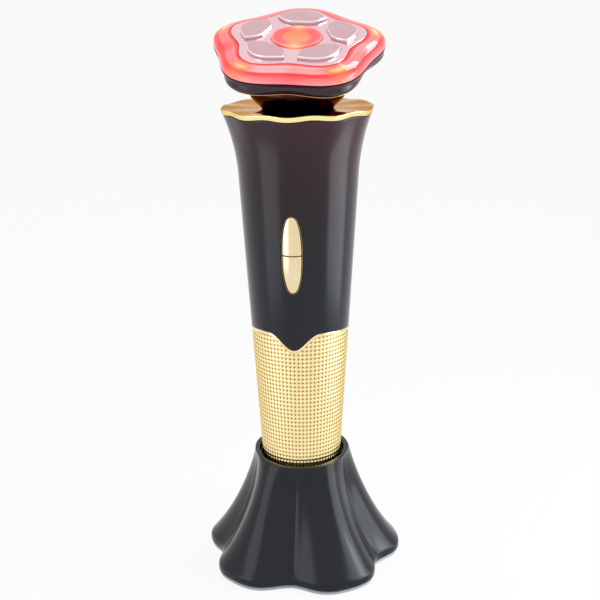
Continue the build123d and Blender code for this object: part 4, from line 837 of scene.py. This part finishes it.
# ---------------- handle
def dip(turn, radius):
    """How far the sleeve's top edge dips at a direction, in front and behind."""
    across = np.abs(radius * np.cos(turn) / DIP_HALF_WIDTH)
    return np.where(across < 1, DIP_DEPTH * (1 + np.cos(pi * across)) / 2, 0.0)


def sleeve_edge(turn):
    """Height of the sleeve's top edge, with its dips and its droop at the sides."""
    droop = SIDE_DROOP * np.maximum(0.0, 1 - np.abs(np.sin(turn)) / SHOULDER_REACH)
    return SLEEVE_EDGE - dip(turn, grip_radius(SLEEVE_EDGE)) - droop


def rim_wave():
    """The gentle waves round the rim: 1 on the outward waves and -1 between them."""
    return np.cos(RIM_WAVES * (turns(LOBED_COLUMNS) - BACK))


def wavy_ring(radius, z, share=1.0):
    """A closed row with a share of the rim's waves, which go outwards and down."""
    wave = rim_wave() * share
    return ring(radius + RIM_WAVE_HEIGHT * wave, z - RIM_WAVE_DROP * wave)


def casing_row(low, high, share, inset):
    """A closed row of the casing, share of the way from its lower edge to its wavy top."""
    z = low + (high - low) * share
    wave = RIM_WAVE_HEIGHT * into_flare(z) ** 2 * rim_wave()
    return ring(handle_radius(z) + wave - inset, z)


def outer_casing_mesh():
    low = sleeve_edge(turns(LOBED_COLUMNS))
    high = CASING_TOP - RIM_WAVE_DROP * rim_wave()
    rows = [casing_row(low, high, 0, CASING_EDGE)]
    rows += [casing_row(low + CASING_EDGE, high, share, 0) for share in np.linspace(0, 1, CASING_ROWS)]
    rows += [casing_row(low, high, share, SKIN_WALL) for share in np.linspace(1, 0, CASING_INSIDE_ROWS)]
    opening = bezel_loop(BEZEL_WIDTH + FIT_GAP, OPENING_COLUMNS)
    ends = [opening + (0, 0, OPENING_ABOVE), opening - (0, 0, OPENING_BELOW)]
    cutter = skin("opening", ends, closed=False)
    cutter.transform(BUTTON_FACE)
    return cut(skin("outer_casing_skin", rows), cutter)


def stud_cell(column, row, pitch_z):
    """One bead of the sleeve: its cell's outline, its shoulder and its top.

    Beads meet in a saddle halfway along each side and leave a pit at each corner.
    """
    middle_turn = 2 * pi * (column + 0.5) / STUD_COLUMNS
    middle_z = SLEEVE_BOTTOM + (row + 0.5) * pitch_z
    reach, lift = STUD_SHOULDER
    rings = [[], [], [(0.0, 0.0, 1.0)]]
    for side in range(STUD_SIDES):
        angle = 2 * pi * side / STUD_SIDES
        square = max(abs(cos(angle)), abs(sin(angle)))
        at_corner = side % 2
        rings[0].append((cos(angle) / square, sin(angle) / square, 0.0 if at_corner else STUD_SADDLE))
        rings[1].append((reach * cos(angle), reach * sin(angle), lift))
    return [[stud_point(middle_turn, middle_z, pitch_z, *place) for place in places] for places in rings]


def stud_point(middle_turn, middle_z, pitch_z, across, up, lift):
    """A point of a bead, from its place in the cell and its lift, as shares of half a cell and a bead."""
    turn = middle_turn + across * pi / STUD_COLUMNS
    z = middle_z + up * pitch_z / 2
    radius = grip_radius(z) - STUD_HEIGHT * (1 - lift)
    return radius * cos(turn), radius * sin(turn), z


def knurled_sleeve_mesh():
    """The sleeve with its square grid of beads, cut along the dips of its top edge."""
    pitch_z = (SLEEVE_EDGE - SLEEVE_BOTTOM) / STUD_ROWS
    points, faces = [], []
    index_of = {}

    def index(point):
        key = tuple(round(value, PLACE_DIGITS) for value in point)
        if key not in index_of:
            index_of[key] = len(points)
            points.append([value * MM for value in point])
        return index_of[key]

    for column in range(STUD_COLUMNS):
        for row in range(STUD_ROWS):
            cell = stud_cell(column, row, pitch_z)
            border, shoulder, top = [[index(point) for point in places] for places in cell]
            for side in range(STUD_SIDES):
                after = (side + 1) % STUD_SIDES
                faces.append((border[side], border[after], shoulder[after], shoulder[side]))
                faces.append((shoulder[side], shoulder[after], top[0]))
    inner_low, inner_high, outer_low, outer_high = [], [], [], []
    ends = ((SLEEVE_BOTTOM, inner_low, outer_low), (SLEEVE_EDGE, inner_high, outer_high))
    count = 2 * STUD_COLUMNS
    for step in range(count):
        turn = 2 * pi * step / count
        for z, inner, outer in ends:
            ground = grip_radius(z) - STUD_HEIGHT * (1 - step % 2 * STUD_SADDLE)
            inside = grip_radius(z) - SKIN_WALL
            outer.append(index((ground * cos(turn), ground * sin(turn), z)))
            inner.append(index((inside * cos(turn), inside * sin(turn), z)))
    for step in range(count):
        after = (step + 1) % count
        for one, other in ((inner_low, inner_high), (outer_low, inner_low), (outer_high, inner_high)):
            faces.append((one[step], one[after], other[after], other[step]))
    sleeve = solid_mesh("knurled_sleeve_skin", points, faces)
    return cut(sleeve, above_sleeve_mesh())


def above_sleeve_mesh():
    """The room above the sleeve's top edge, as a thick ring with a wavy underside."""
    edge = sleeve_edge(turns(LOBED_COLUMNS)) - FIT_GAP
    top = SLEEVE_EDGE + CUTTER_RISE
    corners = ((CUTTER_BORE, edge), (CUTTER_RADIUS, edge), (CUTTER_RADIUS, top), (CUTTER_BORE, top))
    return skin("above_sleeve", [ring(radius, z) for radius, z in corners])


def sleeve_border_mesh():
    """A plain raised line that follows the sleeve's top edge."""
    edge = sleeve_edge(turns(LOBED_COLUMNS)) - FIT_GAP
    radius = grip_radius(edge)
    return skin("sleeve_border", [ring(radius + out, edge - down) for out, down in BORDER_SECTION])


def rim_trim_mesh():
    """The gold band round the flared rim, as wavy as the casing's top."""
    foot = handle_radius(CASING_TOP)
    profile = soft_profile([
        (foot - TRIM_WIDTH, 0, 0),
        (foot, 0, 0.12),
        (handle_radius(RIM_TOP), TRIM_HEIGHT, 0.3),
        (foot - TRIM_WIDTH, TRIM_HEIGHT, 0.15),
    ], 5)
    return skin("rim_trim_skin", [wavy_ring(radius, CASING_TOP + height) for radius, height in profile])


def rim_plate_mesh():
    """The bronze plate, dished a little from its wavy edge down to the neck."""
    seat = handle_radius(CASING_TOP) - TRIM_WIDTH - FIT_GAP
    underside = CASING_TOP + RIM_PLATE_SEAT
    neck_foot = CASING_TOP + RIM_PLATE_THICKNESS
    rows = [ring(NECK_RADIUS, underside), ring(seat, underside)]
    rows += [wavy_ring(handle_radius(RIM_TOP) - inwards, RIM_TOP + up) for inwards, up in RIM_PLATE_EDGE]
    for share in np.linspace(0.15, 1, DISH_ROWS):
        radius = seat + (NECK_RADIUS - seat) * share
        rows.append(wavy_ring(radius, RIM_TOP + (neck_foot - RIM_TOP) * share, (1 - share) ** 2))
    return skin("rim_plate_skin", rows)


# ---------------- buttons
def bezel_loop(extra, count):
    """A closed, nearly elliptical row in the buttons' frame, in millimetres."""
    turn = turns(count)
    loop = np.zeros((count, 3))
    for axis, half, wave in ((0, BUTTON_HALF_WIDTH, np.cos(turn)), (1, BUTTON_HALF_HEIGHT, np.sin(turn))):
        blunt = np.sign(wave) * np.abs(wave) ** (2 / BUTTON_BLUNTNESS)
        loop[:, axis] = (half + BUTTON_GAP + extra) * blunt
    return loop


def skin_drop(x):
    """How far the handle's round surface falls away behind the buttons' plane at x."""
    radius = grip_radius(BUTTON_Z)
    return np.sqrt(radius ** 2 - x ** 2) - radius


def bezel_mesh():
    """A thin ring that follows the handle's surface round the buttons."""
    rows = []
    for extra, lift in BEZEL_SECTION:
        loop = bezel_loop(extra, BEZEL_COLUMNS)
        loop[:, 2] = skin_drop(loop[:, 0]) + lift
        rows.append(loop)
    return skin("button_bezel_skin", rows)


def button_mesh(name, side):
    """One half of the tall button, crowned across and falling away to its tip."""
    past_split, edge_drops = np.array(SPLIT_EDGE).T
    heights = np.concatenate([
        BUTTON_SPLIT / 2 + past_split,
        BUTTON_HALF_HEIGHT * np.sin(np.linspace(FIRST_ROW, pi / 2, BUTTON_ROWS))])
    drops = np.concatenate([edge_drops, np.zeros(BUTTON_ROWS)])
    shares = np.sin(np.linspace(-pi / 2, pi / 2, BUTTON_COLUMNS))
    rows = []
    for y, drop in zip(heights, drops):
        left = max(BUTTON_TIP, 1 - (y / BUTTON_HALF_HEIGHT) ** BUTTON_BLUNTNESS)
        width = BUTTON_HALF_WIDTH * left ** (1 / BUTTON_BLUNTNESS)
        x = width * shares
        reach = np.sqrt((x / BUTTON_HALF_WIDTH) ** 2 + (y / BUTTON_HALF_HEIGHT) ** 2)
        fall = BUTTON_HALF_WIDTH * np.minimum(reach, DOME_REACH)
        crown = BUTTON_PROUD - BUTTON_DOME + np.sqrt(BUTTON_DOME ** 2 - fall ** 2) - drop
        top = np.stack([x, np.full_like(x, side * y), crown], axis=1)
        under = [(width, side * y, -BUTTON_DEPTH), (-width, side * y, -BUTTON_DEPTH)]
        rows.append(np.concatenate([top, under]))
    return skin(name, rows, closed=False)


# ---------------- neck and head
def neck_mesh():
    """The neck: a funnel that turns upright and ends on the head's slant, with its bore."""
    foot = CASING_TOP + RIM_PLATE_THICKNESS
    turn = turns(LOBED_COLUMNS)

    def slant(radius):
        """Height of the bowl's flat underside at a distance from the axis."""
        across = HEAD_NORMAL.x * radius * np.cos(turn) + HEAD_NORMAL.y * radius * np.sin(turn)
        return HEAD_PIVOT.z - across / HEAD_NORMAL.z

    def neck_radius(z):
        steep = (z - foot) * NECK_FUNNEL_GROWTH / NECK_FUNNEL_HEIGHT + NECK_START
        upright = NECK_FUNNEL_GROWTH + NECK_TAPER * (z - foot)
        blend = (steep ** -NECK_SOFTNESS + upright ** -NECK_SOFTNESS) ** (-1 / NECK_SOFTNESS)
        return NECK_RADIUS + blend

    top = slant(NECK_RADIUS + NECK_FUNNEL_GROWTH)
    rows = [ring(NECK_BORE, foot)]
    for share in np.linspace(0, 1, NECK_ROWS):
        z = foot + (top - foot) * share
        rows.append(ring(neck_radius(z), z))
    rows.append(ring(NECK_BORE, slant(NECK_BORE)))
    return skin("neck_skin", rows)


def bowl_curve(depth):
    """Radius and swell of the bowl at a depth, from a smooth curve through its few sizes."""
    radius = np.polyval(np.polyfit(BOWL_DEPTHS, BOWL_RADII, 4), depth)
    swell = np.polyval(np.polyfit(BOWL_DEPTHS, BOWL_SWELLS, 3), depth)
    return radius, swell


def bowl_rows(deepest, highest, count):
    """Rows of the bowl's outside, from one depth up to another."""
    rows = []
    for depth in np.linspace(deepest, highest, count):
        radius, swell = bowl_curve(depth)
        rows.append(ring(lobed(radius, swell), -depth))
    return rows


def bowl_mesh():
    """The dark bowl between the gold line and the light ring, with its floor and inside."""
    rim = BOWL_DEPTHS[-1]
    rows = [ring(NECK_BORE, -LINE_DEPTH)]
    rows += bowl_rows(LINE_DEPTH, rim + BOWL_EDGE_START, BOWL_ROWS)
    rows += lobed_rows([(BOWL_RADII[-1] - inwards, -rim - down, RING_SWELL) for inwards, down in BOWL_EDGE])
    rows += [ring(LED_SEAT, -rim - BOWL_WALL), ring(NECK_BORE, BOWL_WALL - LINE_DEPTH)]
    return skin("head_shell_skin", rows)


def bowl_foot_mesh():
    """The bronze flare from the neck up to the gold line."""
    rows = [ring(NECK_BORE, -HEAD_DEPTH)]
    rows += bowl_rows(HEAD_DEPTH, LINE_DEPTH, BOWL_FOOT_ROWS)
    rows += [ring(NECK_BORE, -LINE_DEPTH)]
    return skin("bowl_foot", rows)


def bowl_line_mesh():
    """A thin raised gold line between the bronze flare and the dark bowl; its gold is a painted highlight
    on that edge.
    """
    radius, swell = bowl_curve(LINE_DEPTH)
    reach = LINE_WIDTH / 2
    rows = []
    for turn in turns(LINE_COLUMNS):
        rows.append(ring(lobed(radius + reach * cos(turn), swell), reach * sin(turn) - LINE_DEPTH))
    return skin("bowl_line", rows)


def light_ring_mesh():
    """The translucent ring: an upright edge, a soft ridge and a top that slopes up to the plate."""
    bend_reach, bend_share = RING_BEND
    lip_reach, lip_depth = RING_LIP
    profile = soft_profile([
        (RING_BORE, -RING_LOW, 0.0, 0),
        (RING_RADIUS, -RING_LOW, RING_SWELL, 0.3),
        (RING_RADIUS - RING_DRAFT, -RING_RIDGE - RING_SHOULDER, RING_SWELL, 0.9),
        (RING_RIDGE_RADIUS, -RING_RIDGE, RING_SWELL, 0.5),
        (PLATE_RADIUS + bend_reach, -RING_RIDGE * bend_share, PLATE_SWELL, 0.6),
        (PLATE_RADIUS + lip_reach, -lip_depth, PLATE_SWELL, 0.2),
        (PLATE_RADIUS + PLATE_GAP, -PLATE_THICKNESS, PLATE_SWELL, 0),
        (RING_BORE, -PLATE_THICKNESS, 0.0, 0),
    ])
    return skin("light_ring_skin", lobed_rows(profile))


def electrode_plate_mesh():
    profile = soft_profile([
        (LENS_RADIUS + FIT_GAP, -PLATE_THICKNESS, 0.0, 0),
        (PLATE_RADIUS, -PLATE_THICKNESS, PLATE_SWELL, 0),
        (PLATE_RADIUS, 0.0, PLATE_SWELL, 0.2),
        (LENS_RADIUS + FIT_GAP, 0.0, 0.0, 0.1),
    ], 4)
    return skin("electrode_plate_skin", lobed_rows(profile))


def lens_mesh():
    """The round window: a flat rim with a soft edge round a shallow dish."""
    bevel_reach, bevel_drop = LENS_DISH_BEVEL
    dish_edge = LENS_PROUD - bevel_drop
    profile = [(LENS_RADIUS, -PLATE_THICKNESS)]
    profile += [(LENS_RADIUS - inwards, LENS_PROUD - down) for inwards, down in LENS_EDGE]
    profile += [(LENS_DISH_RADIUS + bevel_reach, LENS_PROUD), (LENS_DISH_RADIUS, dish_edge)]
    for share in np.linspace(*LENS_DISH_SHARES, LENS_ROWS):
        profile.append((LENS_DISH_RADIUS * share, dish_edge - LENS_DISH_DEPTH * (1 - share ** 2)))
    rows = [ring(radius, height, LENS_COLUMNS) for radius, height in profile]
    return skin("centre_lens_skin", rows, closed=False)


def pad_outline(index):
    """One petal of the electrode: the lobed edge, two straight sides and a straight, clipped inner edge."""
    half_turn = pi / LOBES
    outer_half = half_turn - np.arcsin(PAD_SPACING / 2 / PAD_RADIUS)
    corners = []
    for turn in BACK + outer_half * np.linspace(-1, 1, PAD_COLUMNS):
        reach = PAD_RADIUS + PAD_SWELL * cos(LOBES * (turn - BACK))
        corners.append((reach * cos(turn), reach * sin(turn), 0))
    tip_y = PAD_SPACING / 2 / sin(half_turn)
    clip_y = PAD_INNER + PAD_CLIP
    clip_x = (clip_y - tip_y) * tan(half_turn)
    inner_x = clip_x - PAD_CLIP - PAD_CLIP * tan(half_turn)
    for x, y in ((-clip_x, clip_y), (-inner_x, PAD_INNER), (inner_x, PAD_INNER), (clip_x, clip_y)):
        corners.append((x, y, PAD_CORNER_ROUND))
    x, y = np.array(soft_profile(corners, 3)).T
    turned = 2 * pi * index / LOBES
    return np.stack([x * cos(turned) - y * sin(turned), x * sin(turned) + y * cos(turned)], axis=1)


def inset_outline(outline, inset):
    """A closed outline moved inwards along its corners' middle directions."""
    ahead = np.roll(outline, -1, axis=0) - outline
    behind = outline - np.roll(outline, 1, axis=0)
    ahead /= np.linalg.norm(ahead, axis=1, keepdims=True)
    behind /= np.linalg.norm(behind, axis=1, keepdims=True)
    inwards = np.stack([-(ahead + behind)[:, 1], (ahead + behind)[:, 0]], axis=1)
    scale = np.sum(inwards * np.stack([-ahead[:, 1], ahead[:, 0]], axis=1), axis=1, keepdims=True)
    return outline + inwards / np.maximum(scale, MITRE_LIMIT) * inset


def electrode_mesh(index, name):
    """A raised pad with a soft top edge."""
    outline = pad_outline(index)
    profile = [(0.0, 0.0)] + [(inwards, PAD_HEIGHT - down) for inwards, down in PAD_EDGE]
    rows = [[(x, y, height) for x, y in inset_outline(outline, inwards)] for inwards, height in profile]
    return skin("electrode_" + name + "_skin", rows, closed=False)


def gasket_mesh():
    inner, outer = [BOWL_RADII[-1] - inwards for inwards in GASKET_REACH]
    low, high = -BOWL_DEPTHS[-1], -RING_LOW
    corners = ((inner, low), (outer, low), (outer, high), (inner, high))
    return skin("head_gasket_skin", lobed_rows([(radius, z, RING_SWELL) for radius, z in corners]))


# ---------------- the pieces
piece(base_shell_mesh(), "bell_gloss", body="stand")
piece(foot_pad_mesh(), "foot_silicone", body="stand")
piece(knurled_sleeve_mesh(), "sleeve_gold")
piece(sleeve_border_mesh(), "border_gold")
piece(outer_casing_mesh(), "casing_gloss")
piece(rim_trim_mesh(), "rim_gold")
piece(rim_plate_mesh(), "rim_bronze")
piece(bezel_mesh(), "bezel_gold", BUTTON_FACE)
for name, side in (("upper_button", 1), ("lower_button", -1)):
    piece(button_mesh(name + "_skin", side), "button_gold", BUTTON_FACE, body=name)
piece(neck_mesh(), "neck_bronze")
piece(bowl_mesh(), "bowl_gloss", FACE)
piece(bowl_foot_mesh(), "neck_bronze", FACE)
piece(bowl_line_mesh(), "line_gold", FACE)
piece(gasket_mesh(), "seal_silicone", FACE)
piece(light_ring_mesh(), "ring_glow", FACE)
piece(electrode_plate_mesh(), "plate_rose", FACE)
piece(lens_mesh(), "lens_glow", FACE)
for index, name in enumerate(PAD_NAMES):
    piece(electrode_mesh(index, name), "electrode_rose", FACE)


# ---------------- floor, lamps and camera
def make_floor():
    mesh = bpy.data.meshes.new("floor")
    corners = [(x * FLOOR_REACH, y * FLOOR_REACH, 0) for x, y in ((-1, -1), (1, -1), (1, 1), (-1, 1))]
    mesh.from_pydata(corners, [], [(0, 1, 2, 3)])
    floor = new_object("floor", mesh)
    material, tree, shader = new_material(
        "floor_white", Base_Color=(0.8, 0.8, 0.8, 1.0), Roughness=0.9, Specular_IOR_Level=0.0)
    white = add(tree, "Emission", {"Color": (1.0, 1.0, 1.0, 1.0), "Strength": 1.0})
    share = calc(tree, "MULTIPLY", seen_directly(tree), FLOOR_WHITENESS)
    both = add(tree, "MixShader", {0: share, 1: shader.outputs["BSDF"], 2: white.outputs["Emission"]})
    tree.links.new(both.outputs["Shader"], tree.nodes["Material Output"].inputs["Surface"])
    mesh.materials.append(material)


def seen_directly(tree):
    """1 for what the camera, a mirror or clear glass shows, and 0 for soft light on the object."""
    path = add(tree, "LightPath").outputs
    share = calc(tree, "MAXIMUM", path["Is Camera Ray"], path["Is Glossy Ray"])
    return calc(tree, "MAXIMUM", share, path["Is Transmission Ray"])


def make_softbox(name, turn, reach, height, size, power, aim_height):
    """A rectangular lamp at a direction from straight ahead towards +X, aimed at the handle."""
    lamp = bpy.data.lights.new(name, "AREA")
    lamp.shape = "RECTANGLE"
    lamp.size, lamp.size_y = size
    lamp.energy = power
    lamp.color = LAMP_COLOUR
    made = new_object(name, lamp)
    made.location = (reach * sin(turn), -reach * cos(turn), height)
    aim = Vector((0, 0, aim_height)) - made.location
    made.rotation_euler = aim.to_track_quat("-Z", "Y").to_euler()
    made.visible_camera = False


def make_world():
    world = bpy.data.worlds.new("studio")
    bpy.context.scene.world = world
    world.use_nodes = True
    tree = world.node_tree
    background = tree.nodes["Background"]
    background.inputs["Color"].default_value = (1.0, 1.0, 1.0, 1.0)
    link(tree, background.inputs["Strength"], between(tree, seen_directly(tree), SKY_LIGHT, 1.0))


def make_camera():
    """The camera stands in front, a little to the right, and looks down on the handle."""
    camera = bpy.data.cameras.new("camera")
    camera.lens = CAMERA_LENS
    camera.shift_x = CAMERA_SHIFT
    made = new_object("camera", camera)
    place = Vector((CAMERA_REACH * sin(CAMERA_TURN), -CAMERA_REACH * cos(CAMERA_TURN), CAMERA_HEIGHT))
    turned = Matrix.Rotation(CAMERA_TURN + CAMERA_YAW, 4, "Z")
    tipped = Matrix.Rotation(pi / 2 - CAMERA_PITCH, 4, "X")
    rolled = Matrix.Rotation(CAMERA_ROLL, 4, "Z")
    made.matrix_world = Matrix.Translation(place * MM) @ turned @ tipped @ rolled
    bpy.context.scene.camera = made


make_floor()
make_world()
for name, degrees, *settings in SOFTBOXES:
    make_softbox(name, radians(degrees), *settings)
make_camera()
bpy.context.scene.view_settings.view_transform = "Standard"
